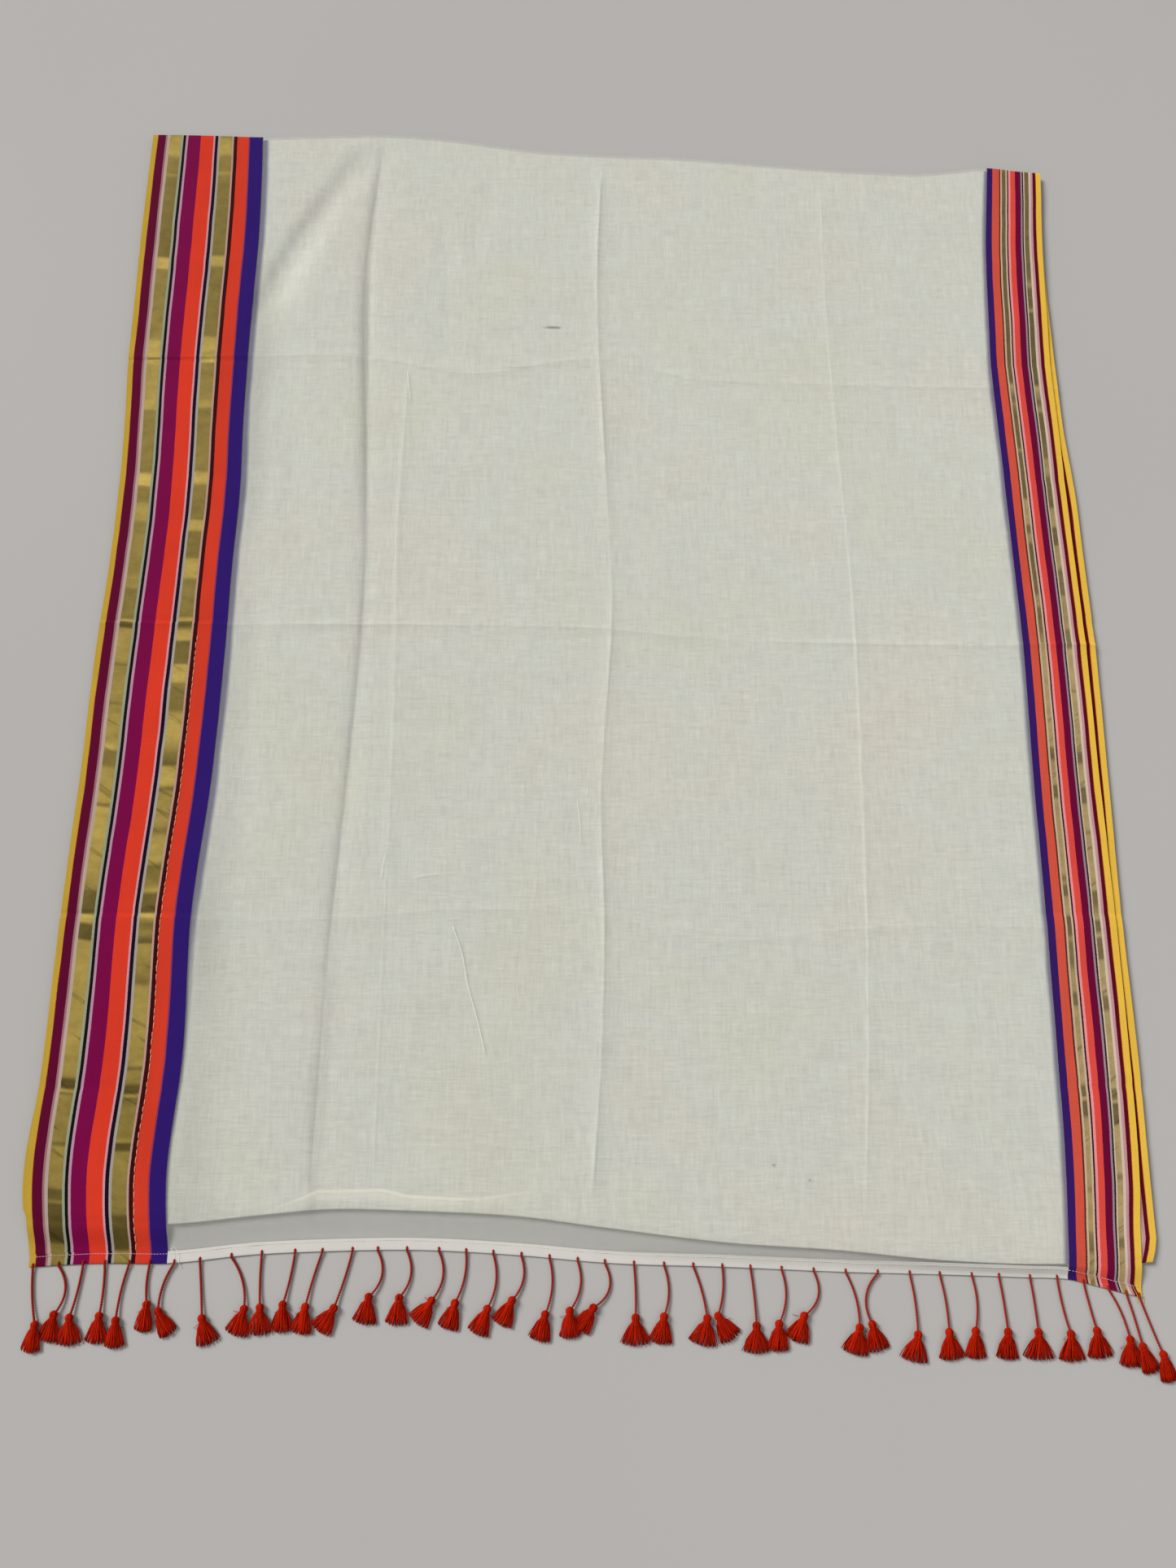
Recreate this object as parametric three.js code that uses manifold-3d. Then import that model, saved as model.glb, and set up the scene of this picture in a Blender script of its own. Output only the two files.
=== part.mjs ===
// A handloom cotton sari, folded to a quarter of its length and laid flat, its tasselled end on top.
// Millimetres, +Z up, floor at z = 0. X runs across the cloth, from the wide border to the narrow one,
// and Y runs along it, from the tasselled hem to the far fold.
import * as THREE from 'three';
import { mergeVertices } from 'three/addons/utils/BufferGeometryUtils.js';
import Module from 'manifold-3d';

const wasm = await Module();
wasm.setup();
const { clamp, degToRad, lerp, smoothstep } = THREE.MathUtils;

// Driving dimensions
const clothWall = 1.0;
const seamGap = 0.3;
const layerPitch = 2.2; // from the underside of one layer to the next, with the loft of folded voile
const topLayer = 3 * layerPitch; // underside of the top stretch where it lies on the stack
const foldRadius = (layerPitch + clothWall) / 2; // outer radius of a fold between two layers
const coreTop = topLayer - 1.1;
const coreInset = 5; // how far the packed middle stays inside the layers' edges
const hemWidth = 12;
const hemThickness = 1.7;
const creaseShoulder = 18; // half width over which a crease falls away
const dropInside = 10; // the top stretch starts to fall this far inside the lower fold
const lipDrop = 0.8; // and has fallen this much where it passes over the fold
const longestDrop = 27; // it reaches the floor within this distance past that fold
const creaseFade = 60; // creases die out over this length beside either end of the stack
const plainEndInset = 20; // the hidden plain end stops this far inside the lower fold
const farFoldSetback = 3; // the lower far fold lies this far inside the upper one
const farClearance = 2; // the second layer stops this far short of the upper far fold
const cordWidth = 2.4;
const knotWidth = 8;
const knotHeight = 6.4;
const knotLength = 8;
const skirtLength = 25;
const lockCount = 5;
const lockShare = 0.72; // share of its fan that a skirt's locks fill at the tip
const floorGap = 0.4; // cords and tassels stay this far above the floor

// Side edges of the top stretch, its two border seams, and the edges of the layers below it
const stations = [
  { y: -681, left: -577, wideSeam: -439, narrowSeam: 486, right: 562, underLeft: -583, underRight: 581 },
  { y: -635, left: -582, wideSeam: -440, narrowSeam: 489, right: 564, underLeft: -586, underRight: 582 },
  { y: -564, left: -591, wideSeam: -446, narrowSeam: 494, right: 571, underLeft: -595, underRight: 583 },
  { y: -441, left: -588, wideSeam: -440, narrowSeam: 498, right: 576, underLeft: -587, underRight: 586 },
  { y: -292, left: -587, wideSeam: -444, narrowSeam: 501, right: 578, underLeft: -585, underRight: 586 },
  { y: -125, left: -583, wideSeam: -434, narrowSeam: 503, right: 579, underLeft: -581, underRight: 590 },
  { y: 43, left: -581, wideSeam: -431, narrowSeam: 507, right: 581, underLeft: -579, underRight: 593 },
  { y: 137, left: -577, wideSeam: -431, narrowSeam: 506, right: 580, underLeft: -575, underRight: 592 },
  { y: 234, left: -576, wideSeam: -429, narrowSeam: 505, right: 579, underLeft: -574, underRight: 591 },
  { y: 323, left: -578, wideSeam: -432, narrowSeam: 504, right: 579, underLeft: -576, underRight: 586 },
  { y: 404, left: -582, wideSeam: -433, narrowSeam: 503, right: 578, underLeft: -580, underRight: 585 },
  { y: 499, left: -583, wideSeam: -433, narrowSeam: 507, right: 582, underLeft: -581, underRight: 585 },
  { y: 585, left: -584, wideSeam: -432, narrowSeam: 512, right: 586, underLeft: -582, underRight: 587 },
  { y: 673, left: -584, wideSeam: -434, narrowSeam: 521, right: 593, underLeft: -582, underRight: 592 },
  { y: 757, left: -583, wideSeam: -438, narrowSeam: 530, right: 598, underLeft: -581, underRight: 596 },
];

// The far fold, the near fold of the layers below, and the outer edge of the hem
const ends = [
  { x: -592, far: 757, fold: -605, hem: -650 },
  { x: -512, far: 756, fold: -607, hem: -646 },
  { x: -438, far: 754, fold: -608, hem: -646 },
  { x: -352, far: 757, fold: -600, hem: -638 },
  { x: -279, far: 759, fold: -594, hem: -635 },
  { x: -181, far: 751, fold: -596, hem: -634 },
  { x: -83, far: 736, fold: -601, hem: -639 },
  { x: 14, far: 729, fold: -613, hem: -647 },
  { x: 133, far: 724, fold: -627, hem: -651 },
  { x: 251, far: 713, fold: -635, hem: -656 },
  { x: 359, far: 705, fold: -645, hem: -659 },
  { x: 446, far: 703, fold: -649, hem: -662 },
  { x: 489, far: 708, fold: -649, hem: -664 },
  { x: 523, far: 712, fold: -649, hem: -672 },
  { x: 564, far: 707, fold: -648, hem: -681 },
  { x: 598, far: 704, fold: -646, hem: -681 },
];

// Where the three long creases lie at places up the cloth
const longCreases = [
  { y: -593, first: -297, second: -4, third: 282 },
  { y: -443, first: -294, second: 7, third: 294 },
  { y: -293, first: -290, second: 11, third: 302 },
  { y: -173, first: -283, second: 8, third: 305 },
  { y: 107, first: -273, second: 22, third: 309 },
  { y: 247, first: -277, second: 16, third: 304 },
  { y: 547, first: -291, second: 6, third: 299 },
  { y: 737, first: -278, second: 14, third: 302 },
];

// Where the three cross creases lie at points across the cloth
const crossCreases = [
  { x: -584, near: -283, middle: 59, high: 415 },
  { x: -432, near: -292, middle: 57, high: 420 },
  { x: -290, near: -291, middle: 58, high: 420 },
  { x: -152, near: -281, middle: 57, high: 397 },
  { x: 8, near: -288, middle: 53, high: 418 },
  { x: 123, near: -314, middle: 42, high: 392 },
  { x: 298, near: -301, middle: 35, high: 383 },
  { x: 578, near: -301, middle: 34, high: 379 },
];

// Height of each crease: a trough is below zero
const creaseHeights = { first: -0.7, second: 1.6, third: 1.2, near: 1.1, middle: 1.4, high: 1.2 };

// One row for each tassel: where its cord leaves the hem, how far it swings aside and drops to the knot,
// how much it bows, how its skirt leans, in degrees, and how wide the skirt fans at its tip
const tassels = [
  { x: -576, swing: 9, drop: 54, bow: -2, lean: -6, fan: 17 },
  { x: -550, swing: 1, drop: 46, bow: 9, lean: -9, fan: 19 },
  { x: -525, swing: -8, drop: 50, bow: 1, lean: 4, fan: 22 },
  { x: -503, swing: 0, drop: 49, bow: 1, lean: -4, fan: 20 },
  { x: -478, swing: -8, drop: 53, bow: -2, lean: 1, fan: 17 },
  { x: -457, swing: 1, drop: 38, bow: -2, lean: -5, fan: 15 },
  { x: -432, swing: -12, drop: 45, bow: -4, lean: 30, fan: 17 },
  { x: -406, swing: 7, drop: 54, bow: 0, lean: 18, fan: 20 },
  { x: -374, swing: 17, drop: 49, bow: 5, lean: -17, fan: 21 },
  { x: -343, swing: 2, drop: 50, bow: -1, lean: 1, fan: 22 },
  { x: -309, swing: -9, drop: 49, bow: 1, lean: 0, fan: 19 },
  { x: -281, swing: -14, drop: 52, bow: -1, lean: -9, fan: 19 },
  { x: -250, swing: -16, drop: 54, bow: 1, lean: -32, fan: 19 },
  { x: -224, swing: -7, drop: 44, bow: 9, lean: -10, fan: 21 },
  { x: -194, swing: -6, drop: 45, bow: 8, lean: -5, fan: 20 },
  { x: -161, swing: -6, drop: 47, bow: 8, lean: -33, fan: 20 },
  { x: -133, swing: -10, drop: 48, bow: 4, lean: -16, fan: 19 },
  { x: -105, swing: -5, drop: 52, bow: 6, lean: -23, fan: 20 },
  { x: -76, swing: -9, drop: 42, bow: 7, lean: -27, fan: 19 },
  { x: -47, swing: -4, drop: 53, bow: 5, lean: -13, fan: 19 },
  { x: -18, swing: -8, drop: 47, bow: 7, lean: 0, fan: 18 },
  { x: 10, swing: -12, drop: 42, bow: 11, lean: -35, fan: 18 },
  { x: 40, swing: 1, drop: 50, bow: 1, lean: -1, fan: 24 },
  { x: 71, swing: -1, drop: 48, bow: 5, lean: -10, fan: 21 },
  { x: 101, swing: 13, drop: 49, bow: 2, lean: -14, fan: 25 },
  { x: 131, swing: -6, drop: 46, bow: 3, lean: 32, fan: 20 },
  { x: 160, swing: 4, drop: 54, bow: 1, lean: -2, fan: 23 },
  { x: 192, swing: -5, drop: 51, bow: 6, lean: -5, fan: 19 },
  { x: 225, swing: -12, drop: 42, bow: 10, lean: -21, fan: 21 },
  { x: 258, swing: 11, drop: 52, bow: 4, lean: -13, fan: 23 },
  { x: 291, swing: -9, drop: 48, bow: -9, lean: 11, fan: 22 },
  { x: 324, swing: 4, drop: 57, bow: 2, lean: -13, fan: 24 },
  { x: 355, swing: 5, drop: 54, bow: 2, lean: 2, fan: 22 },
  { x: 388, swing: -1, drop: 52, bow: 4, lean: -4, fan: 19 },
  { x: 416, swing: 4, drop: 52, bow: 1, lean: -6, fan: 20 },
  { x: 448, swing: 3, drop: 51, bow: 1, lean: -2, fan: 26 },
  { x: 476, swing: 8, drop: 52, bow: -1, lean: -1, fan: 24 },
  { x: 503, swing: 8, drop: 45, bow: 0, lean: 3, fan: 23 },
  { x: 528, swing: 16, drop: 47, bow: 3, lean: 0, fan: 21 },
  { x: 546, swing: 10, drop: 49, bow: 1, lean: 16, fan: 16 },
  { x: 559, swing: 17, drop: 54, bow: 0, lean: 10, fan: 16 },
];

const finishes = {
  voile: new THREE.MeshStandardMaterial({ color: 0xd9d6c6, roughness: 0.9, metalness: 0 }),
  wideStripes: new THREE.MeshStandardMaterial({ color: 0xb8403a, roughness: 0.7, metalness: 0.1 }),
  narrowStripes: new THREE.MeshStandardMaterial({ color: 0xa03a3c, roughness: 0.7, metalness: 0.1 }),
  hem: new THREE.MeshStandardMaterial({ color: 0xeceae2, roughness: 0.9, metalness: 0 }),
  innerLayers: new THREE.MeshStandardMaterial({ color: 0xcfcab8, roughness: 0.9, metalness: 0 }),
  tassel: new THREE.MeshStandardMaterial({ color: 0xcc3318, roughness: 0.8, metalness: 0 }),
};

// Reads a column of a table at any place, in straight lines between its rows
function readTable(rows, key, at, column) {
  let i = 0;
  while (i < rows.length - 2 && at > rows[i + 1][key]) i += 1;
  const span = rows[i + 1][key] - rows[i][key];
  const share = clamp((at - rows[i][key]) / span, 0, 1);
  return lerp(rows[i][column], rows[i + 1][column], share);
}

const edgeAt = (y, column) => readTable(stations, 'y', y, column);
const endAt = (x, column) => readTable(ends, 'x', x, column);
const longCreaseAt = (y, column) => readTable(longCreases, 'y', y, column);
const crossCreaseAt = (x, column) => readTable(crossCreases, 'x', x, column);

// Relief of the creases above the flat top stretch
function creaseRelief(x, y) {
  const bump = (distance) => Math.exp(-((1.5 * distance / creaseShoulder) ** 2));
  let height = 0;
  for (const name of ['first', 'second', 'third']) {
    height += creaseHeights[name] * bump(x - longCreaseAt(y, name));
  }
  for (const name of ['near', 'middle', 'high']) {
    height += creaseHeights[name] * bump(y - crossCreaseAt(x, name));
  }
  const fromFar = endAt(x, 'far') - foldRadius - y;
  const fromNear = y - endAt(x, 'fold') - dropInside;
  return height * smoothstep(fromFar, 0, creaseFade) * smoothstep(fromNear, 0, creaseFade);
}

// Underside of the top stretch: it lies on the stack, then falls to the floor past the lower fold
function topHeight(x, y) {
  const fold = endAt(x, 'fold');
  const inside = y - fold;
  if (inside >= dropInside) return topLayer + creaseRelief(x, y);
  const lip = topLayer - lipDrop;
  if (inside >= 0) return lerp(lip, topLayer, smoothstep(inside, 0, dropInside));
  const drop = Math.min(longestDrop, fold - endAt(x, 'hem') - 1);
  return lip * smoothstep(inside + drop, 0, drop);
}

// A THREE geometry from points and triangles
function geometryOf(points, triangles) {
  const geometry = new THREE.BufferGeometry();
  geometry.setAttribute('position', new THREE.Float32BufferAttribute(points.flat(), 3));
  geometry.setIndex(triangles);
  return geometry;
}

// A wall between two grids of points: rows run up the cloth, and each row runs across it
function wallBetween(inner, outer) {
  const rows = inner.length;
  const across = inner[0].length;
  const points = [...inner.flat(), ...outer.flat()];
  const at = (side, i, j) => (side * rows + i) * across + j;
  const triangles = [];
  const quad = (a, b, c, d) => triangles.push(a, b, c, a, c, d);
  for (let i = 0; i < rows - 1; i += 1) {
    for (let j = 0; j < across - 1; j += 1) {
      quad(at(1, i, j), at(1, i, j + 1), at(1, i + 1, j + 1), at(1, i + 1, j));
      quad(at(0, i, j), at(0, i + 1, j), at(0, i + 1, j + 1), at(0, i, j + 1));
    }
    quad(at(0, i, 0), at(1, i, 0), at(1, i + 1, 0), at(0, i + 1, 0));
    quad(at(1, i, across - 1), at(0, i, across - 1), at(0, i + 1, across - 1), at(1, i + 1, across - 1));
  }
  for (let j = 0; j < across - 1; j += 1) {
    quad(at(0, 0, j), at(0, 0, j + 1), at(1, 0, j + 1), at(1, 0, j));
    quad(at(1, rows - 1, j), at(1, rows - 1, j + 1), at(0, rows - 1, j + 1), at(0, rows - 1, j));
  }
  return geometryOf(points, triangles);
}

// A closed solid through rings of equal count, each ring turning right-handed about the way it runs
function loft(rings) {
  const sides = rings[0].length;
  const triangles = [];
  for (let i = 0; i < rings.length - 1; i += 1) {
    for (let j = 0; j < sides; j += 1) {
      const a = i * sides + j;
      const b = i * sides + (j + 1) % sides;
      triangles.push(a, b, b + sides, a, b + sides, a + sides);
    }
  }
  const last = (rings.length - 1) * sides;
  for (let j = 1; j < sides - 1; j += 1) {
    triangles.push(0, j + 1, j, last, last + j, last + j + 1);
  }
  return geometryOf(rings.flat(), triangles);
}

function solidOf(geometry) {
  const bare = geometry.clone();
  bare.deleteAttribute('normal');
  bare.deleteAttribute('uv');
  const merged = mergeVertices(bare, 1e-3);
  return new wasm.Manifold(new wasm.Mesh({
    numProp: 3,
    vertProperties: merged.attributes.position.array,
    triVerts: new Uint32Array(merged.index.array),
  }));
}

function joined(geometries) {
  const whole = geometries.map(solidOf).reduce((sum, next) => sum.add(next));
  const mesh = whole.getMesh();
  const geometry = new THREE.BufferGeometry();
  geometry.setAttribute('position', new THREE.BufferAttribute(mesh.vertProperties, 3));
  geometry.setIndex(new THREE.BufferAttribute(mesh.triVerts, 1));
  return geometry;
}

// Columns of the top stretch, as functions of y: even steps between two lines that stand off from creases
function columnsBetween(from, to, steps) {
  return Array.from({ length: steps + 1 }, (_, k) => (y) => lerp(from(y), to(y), k / steps));
}

function fieldColumns() {
  const crease = (name, aside) => (y) => longCreaseAt(y, name) + aside;
  const wide = (y) => edgeAt(y, 'wideSeam') + seamGap / 2;
  const narrow = (y) => edgeAt(y, 'narrowSeam') - seamGap / 2;
  const columns = columnsBetween(wide, crease('first', -creaseShoulder), 3);
  columns.push(crease('first', 0));
  columns.push(...columnsBetween(crease('first', creaseShoulder), crease('second', -creaseShoulder), 5));
  columns.push(crease('second', 0));
  columns.push(...columnsBetween(crease('second', creaseShoulder), crease('third', -creaseShoulder), 5));
  columns.push(crease('third', 0));
  columns.push(...columnsBetween(crease('third', creaseShoulder), narrow, 4));
  return columns;
}

// Rows of the top stretch, as functions of x, from the hem's inner edge to the far fold
function topRows() {
  const crease = (name, aside) => (x) => crossCreaseAt(x, name) + aside;
  const hemLine = (x) => endAt(x, 'hem') + hemWidth + seamGap;
  const shoulder = (x) => Math.max(endAt(x, 'fold') + dropInside, hemLine(x) + dropInside);
  const farLine = (x) => endAt(x, 'far') - foldRadius;
  const rows = columnsBetween(hemLine, shoulder, 6);
  rows.push(...columnsBetween(shoulder, crease('near', -creaseShoulder), 5).slice(1));
  rows.push(crease('near', 0));
  rows.push(...columnsBetween(crease('near', creaseShoulder), crease('middle', -creaseShoulder), 4));
  rows.push(crease('middle', 0));
  rows.push(...columnsBetween(crease('middle', creaseShoulder), crease('high', -creaseShoulder), 4));
  rows.push(crease('high', 0));
  rows.push(...columnsBetween(crease('high', creaseShoulder), farLine, 5));
  return rows;
}

// The point where a row crosses a column
function crossing(column, row) {
  let x = column(0);
  let y = row(x);
  for (let pass = 0; pass < 4; pass += 1) {
    x = column(y);
    y = row(x);
  }
  return [x, y];
}

// One piece of the top stretch: flat rows, then a half turn over the far fold
function topPiece(columns) {
  const inner = [];
  const outer = [];
  for (const row of topRows()) {
    const points = columns.map((column) => crossing(column, row));
    inner.push(points.map(([x, y]) => [x, y, topHeight(x, y)]));
    outer.push(points.map(([x, y]) => [x, y, topHeight(x, y) + clothWall]));
  }
  const turnSteps = 4;
  const farRow = (x) => endAt(x, 'far') - foldRadius;
  const axisHeight = topLayer + clothWall - foldRadius;
  for (let k = 1; k <= turnSteps; k += 1) {
    const angle = Math.PI / 2 - k * Math.PI / turnSteps;
    const turned = (radius) => columns.map((column) => {
      const [x, y] = crossing(column, farRow);
      return [x, y + radius * Math.cos(angle), axisHeight + radius * Math.sin(angle)];
    });
    inner.push(turned(foldRadius - clothWall));
    outer.push(turned(foldRadius));
  }
  return wallBetween(inner, outer);
}

// The turned hem along the end of a piece, thicker than one layer, with a round outer edge
function hemPiece(columns) {
  const rings = columns.map((column) => {
    const [x, outerEdge] = crossing(column, (at) => endAt(at, 'hem'));
    const section = [
      [hemWidth, 0],
      [0.6, 0],
      [0, hemThickness / 2],
      [0.6, hemThickness],
      [hemWidth, hemThickness],
    ];
    return section.map(([inside, up]) => {
      const y = outerEdge + inside;
      return [x, y, topHeight(x, y) + up];
    }).reverse();
  });
  return loft(rings);
}

// Outline of a hidden layer, drawn in by an inset at its sides and at each end
function layerOutline({ leftInset, rightInset, near, far }) {
  const left = (y) => edgeAt(y, 'underLeft') + leftInset;
  const right = (y) => edgeAt(y, 'underRight') - rightInset;
  const shape = new THREE.Shape();
  const insideX = ends.map((row) => row.x).filter((x) => x > left(0) + 30 && x < right(0) - 30);
  const nearLeft = crossing(left, near);
  const nearRight = crossing(right, near);
  const farLeft = crossing(left, far);
  const farRight = crossing(right, far);
  const insideY = stations.map((row) => row.y).filter((y) => y > nearLeft[1] + 20 && y < farRight[1] - 20);
  shape.moveTo(...nearLeft);
  for (const x of insideX) shape.lineTo(x, near(x));
  shape.lineTo(...nearRight);
  for (const y of insideY) shape.lineTo(right(y), y);
  shape.lineTo(...farRight);
  for (const x of [...insideX].reverse()) shape.lineTo(x, far(x));
  shape.lineTo(...farLeft);
  for (const y of [...insideY].reverse()) shape.lineTo(left(y), y);
  shape.closePath();
  return shape;
}

function slab(shape, bottom, top) {
  const geometry = new THREE.ExtrudeGeometry(shape, { depth: top - bottom, bevelEnabled: false });
  return geometry.translate(0, 0, bottom);
}

// A fold between two hidden layers: a round edge that follows a line across the cloth
function foldEdge(line, axisHeight, leftInset, rightInset) {
  const left = (y) => edgeAt(y, 'underLeft') + leftInset;
  const right = (y) => edgeAt(y, 'underRight') - rightInset;
  const first = crossing(left, line)[0];
  const last = crossing(right, line)[0];
  const places = [first, ...ends.map((row) => row.x).filter((x) => x > first + 5 && x < last - 5), last];
  const sides = 8;
  const rings = places.map((x) => Array.from({ length: sides }, (_, k) => {
    const angle = 2 * Math.PI * (k + 0.5) / sides;
    const reach = foldRadius / Math.cos(Math.PI / sides);
    return [x, line(x) + reach * Math.cos(angle), axisHeight + reach * Math.sin(angle)];
  }));
  return loft(rings);
}

// The three layers under the top stretch, packed as one solid with each layer's edge standing out
function underLayers() {
  const foldLine = (x) => endAt(x, 'fold') + foldRadius;
  const upperFar = (x) => endAt(x, 'far') - foldRadius - farClearance;
  const lowerFar = (x) => endAt(x, 'far') - foldRadius - farFoldSetback;
  const plainEnd = (x) => endAt(x, 'fold') + plainEndInset;
  const second = { leftInset: 0, rightInset: 0, near: foldLine, far: upperFar };
  const third = { leftInset: 2, rightInset: 5, near: foldLine, far: lowerFar };
  const fourth = { leftInset: 1, rightInset: 2, near: plainEnd, far: lowerFar };
  const core = {
    leftInset: coreInset + 2,
    rightInset: coreInset + 5,
    near: (x) => endAt(x, 'fold') + dropInside + 2,
    far: (x) => endAt(x, 'far') - 2 * coreInset,
  };
  return joined([
    slab(layerOutline(fourth), 0, clothWall),
    slab(layerOutline(core), clothWall / 2, coreTop),
    slab(layerOutline(third), layerPitch, layerPitch + clothWall),
    slab(layerOutline(second), 2 * layerPitch, 2 * layerPitch + clothWall),
    foldEdge(foldLine, layerPitch + foldRadius, 2, 5),
    foldEdge(lowerFar, foldRadius, 2, 5),
  ]);
}

// A ring of points about a centre, facing along a direction that lies in the floor's plane
function ringAcross(centre, direction, halfWidth, halfHeight, sides, turn) {
  const aside = [direction[1], -direction[0]];
  return Array.from({ length: sides }, (_, k) => {
    const angle = turn + 2 * Math.PI * k / sides;
    const across = halfWidth * Math.cos(angle);
    const up = halfHeight * Math.sin(angle);
    return [centre[0] + aside[0] * across, centre[1] + aside[1] * across, centre[2] + up];
  }).reverse();
}

// One tassel: a cord from the hem, a wrapped knot, and a fan of locks fused into the knot
function tasselGeometry({ x, swing, drop, bow, lean, fan }) {
  const rootY = endAt(x, 'hem') - seamGap;
  const length = Math.hypot(swing, drop);
  const run = [swing / length, -drop / length];
  const side = [-run[1], run[0]];
  const leanAngle = degToRad(lean);
  const hang = [Math.sin(leanAngle), -Math.cos(leanAngle)];
  const cordHeight = floorGap + cordWidth / 2;
  const knotAxis = floorGap + knotHeight / 2;
  const knot = [x + swing, rootY - drop];

  const cordSteps = 4;
  const cordRings = Array.from({ length: cordSteps + 1 }, (_, k) => {
    const t = k / cordSteps;
    const bulge = bow * 4 * t * (1 - t);
    const slope = bow * 4 * (1 - 2 * t) / length;
    const centre = [
      x + run[0] * length * t + side[0] * bulge,
      rootY + run[1] * length * t + side[1] * bulge,
      lerp(cordHeight, knotAxis, t ** 4),
    ];
    const facing = k === 0 ? [0, -1] : [run[0] + side[0] * slope, run[1] + side[1] * slope];
    const size = Math.hypot(...facing);
    const direction = [facing[0] / size, facing[1] / size];
    return ringAcross(centre, direction, cordWidth / 2, cordWidth / 2, 4, 0);
  });

  const along = (distance) => [knot[0] + hang[0] * distance, knot[1] + hang[1] * distance, knotAxis];
  const knotRings = [
    { at: -0.4, wide: 0.5 },
    { at: 0.2, wide: 1 },
    { at: 0.6, wide: 0.9 },
  ].map(({ at, wide }) => ringAcross(
    along(at * knotLength), hang, wide * knotWidth / 2, wide * knotHeight / 2, 6, 0,
  ));

  const rootSpan = 0.6 * knotWidth;
  const lockWidth = lockShare * fan / lockCount;
  const root = along(0.4 * knotLength);
  const tip = along(skirtLength);
  const locks = Array.from({ length: lockCount }, (_, k) => {
    const place = k / (lockCount - 1) - 0.5;
    const tipSpan = fan - lockWidth;
    const from = [root[0] - hang[1] * place * rootSpan, root[1] + hang[0] * place * rootSpan];
    const back = skirtLength * 0.4 * place * place; // the outer locks end a little higher up
    const to = [
      tip[0] - hang[1] * place * tipSpan - hang[0] * back,
      tip[1] + hang[0] * place * tipSpan - hang[1] * back,
    ];
    const size = Math.hypot(to[0] - from[0], to[1] - from[1]);
    const direction = [(to[0] - from[0]) / size, (to[1] - from[1]) / size];
    const lift = k % 2 === 0 ? 0 : 0.6;
    const rings = [
      { share: 0, wide: 0.25, tall: 0.4, height: knotAxis },
      { share: 0.5, wide: 0.8, tall: 1, height: floorGap + 2 + lift },
      { share: 1, wide: 1, tall: 0.8, height: floorGap + 0.7 + lift },
    ].map(({ share, wide, tall, height }) => ringAcross(
      [lerp(from[0], to[0], share), lerp(from[1], to[1], share), height],
      direction, wide * lockWidth / 2, tall, 3, Math.PI / 2,
    ));
    return loft(rings);
  });
  return joined([loft(cordRings), loft(knotRings), ...locks]);
}

const sari = new THREE.Group();

function place(name, geometry, finish) {
  const mesh = new THREE.Mesh(geometry, finish);
  mesh.name = name;
  sari.add(mesh);
}

const fieldLines = fieldColumns();
const wideSide = (y) => edgeAt(y, 'wideSeam') - seamGap / 2;
const wideLines = columnsBetween((y) => edgeAt(y, 'left'), wideSide, 3);
const narrowSide = (y) => edgeAt(y, 'narrowSeam') + seamGap / 2;
const narrowLines = columnsBetween(narrowSide, (y) => edgeAt(y, 'right'), 2);

place('field', topPiece(fieldLines), finishes.voile);
place('wide_border', topPiece(wideLines), finishes.wideStripes);
place('narrow_border', topPiece(narrowLines), finishes.narrowStripes);
place('hem_field', hemPiece(fieldLines), finishes.hem);
place('hem_wide', hemPiece(wideLines), finishes.wideStripes);
place('hem_narrow', hemPiece(narrowLines), finishes.narrowStripes);
place('under_layers', underLayers(), finishes.innerLayers);
tassels.forEach((row, index) => {
  place(`tassel_${String(index + 1).padStart(2, '0')}`, tasselGeometry(row), finishes.tassel);
});

export default sari;
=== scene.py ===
import math

import bmesh
import bpy
import numpy as np
from mathutils import Matrix


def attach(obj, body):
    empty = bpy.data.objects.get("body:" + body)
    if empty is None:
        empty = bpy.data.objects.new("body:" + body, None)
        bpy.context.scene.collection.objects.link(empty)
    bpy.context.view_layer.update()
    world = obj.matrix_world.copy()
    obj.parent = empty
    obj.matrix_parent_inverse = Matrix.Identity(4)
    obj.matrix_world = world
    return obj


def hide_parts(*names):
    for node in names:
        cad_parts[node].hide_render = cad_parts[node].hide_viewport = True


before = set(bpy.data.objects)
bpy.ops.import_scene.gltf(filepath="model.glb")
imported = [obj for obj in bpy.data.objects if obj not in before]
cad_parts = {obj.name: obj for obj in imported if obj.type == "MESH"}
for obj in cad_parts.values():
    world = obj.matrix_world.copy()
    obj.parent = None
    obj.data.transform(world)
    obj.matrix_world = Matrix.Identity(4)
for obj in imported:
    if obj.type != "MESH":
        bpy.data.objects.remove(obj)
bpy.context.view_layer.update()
mm = 0.001
print("frame loaded with", len(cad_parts), "solids")

# Camera, floor and light

cameraView = {
    "place": (-0.020, -0.485, 1.301),
    "turn": (15.05, -0.57, -0.08),  # degrees about X, Y and Z
    "lens": 27.03,  # mm
    "sensor": 36.0,  # mm, along the longer side
    "nearest": 0.05,
}

studio = {
    "floorSize": 14.0,
    "floorDrop": 0.0004,
    "floorColor": (158, 156, 153),
    "skyColor": (0.975, 0.98, 1.0),
    "skyStrength": 0.44,
    "keyFrom": (-2.0, 1.6, 1.95),
    "keySpread": 26.0,  # degrees: a wide soft source a long way off
    "keyPower": 4.0,
    "keyColor": (1.0, 0.985, 0.97),
    "fillPlace": (1.6, -1.8, 2.6),
    "fillSize": 2.4,
    "fillPower": 12.0,
}


def addObject(name, data):
    item = bpy.data.objects.new(name, data)
    bpy.context.scene.collection.objects.link(item)
    return item


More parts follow.
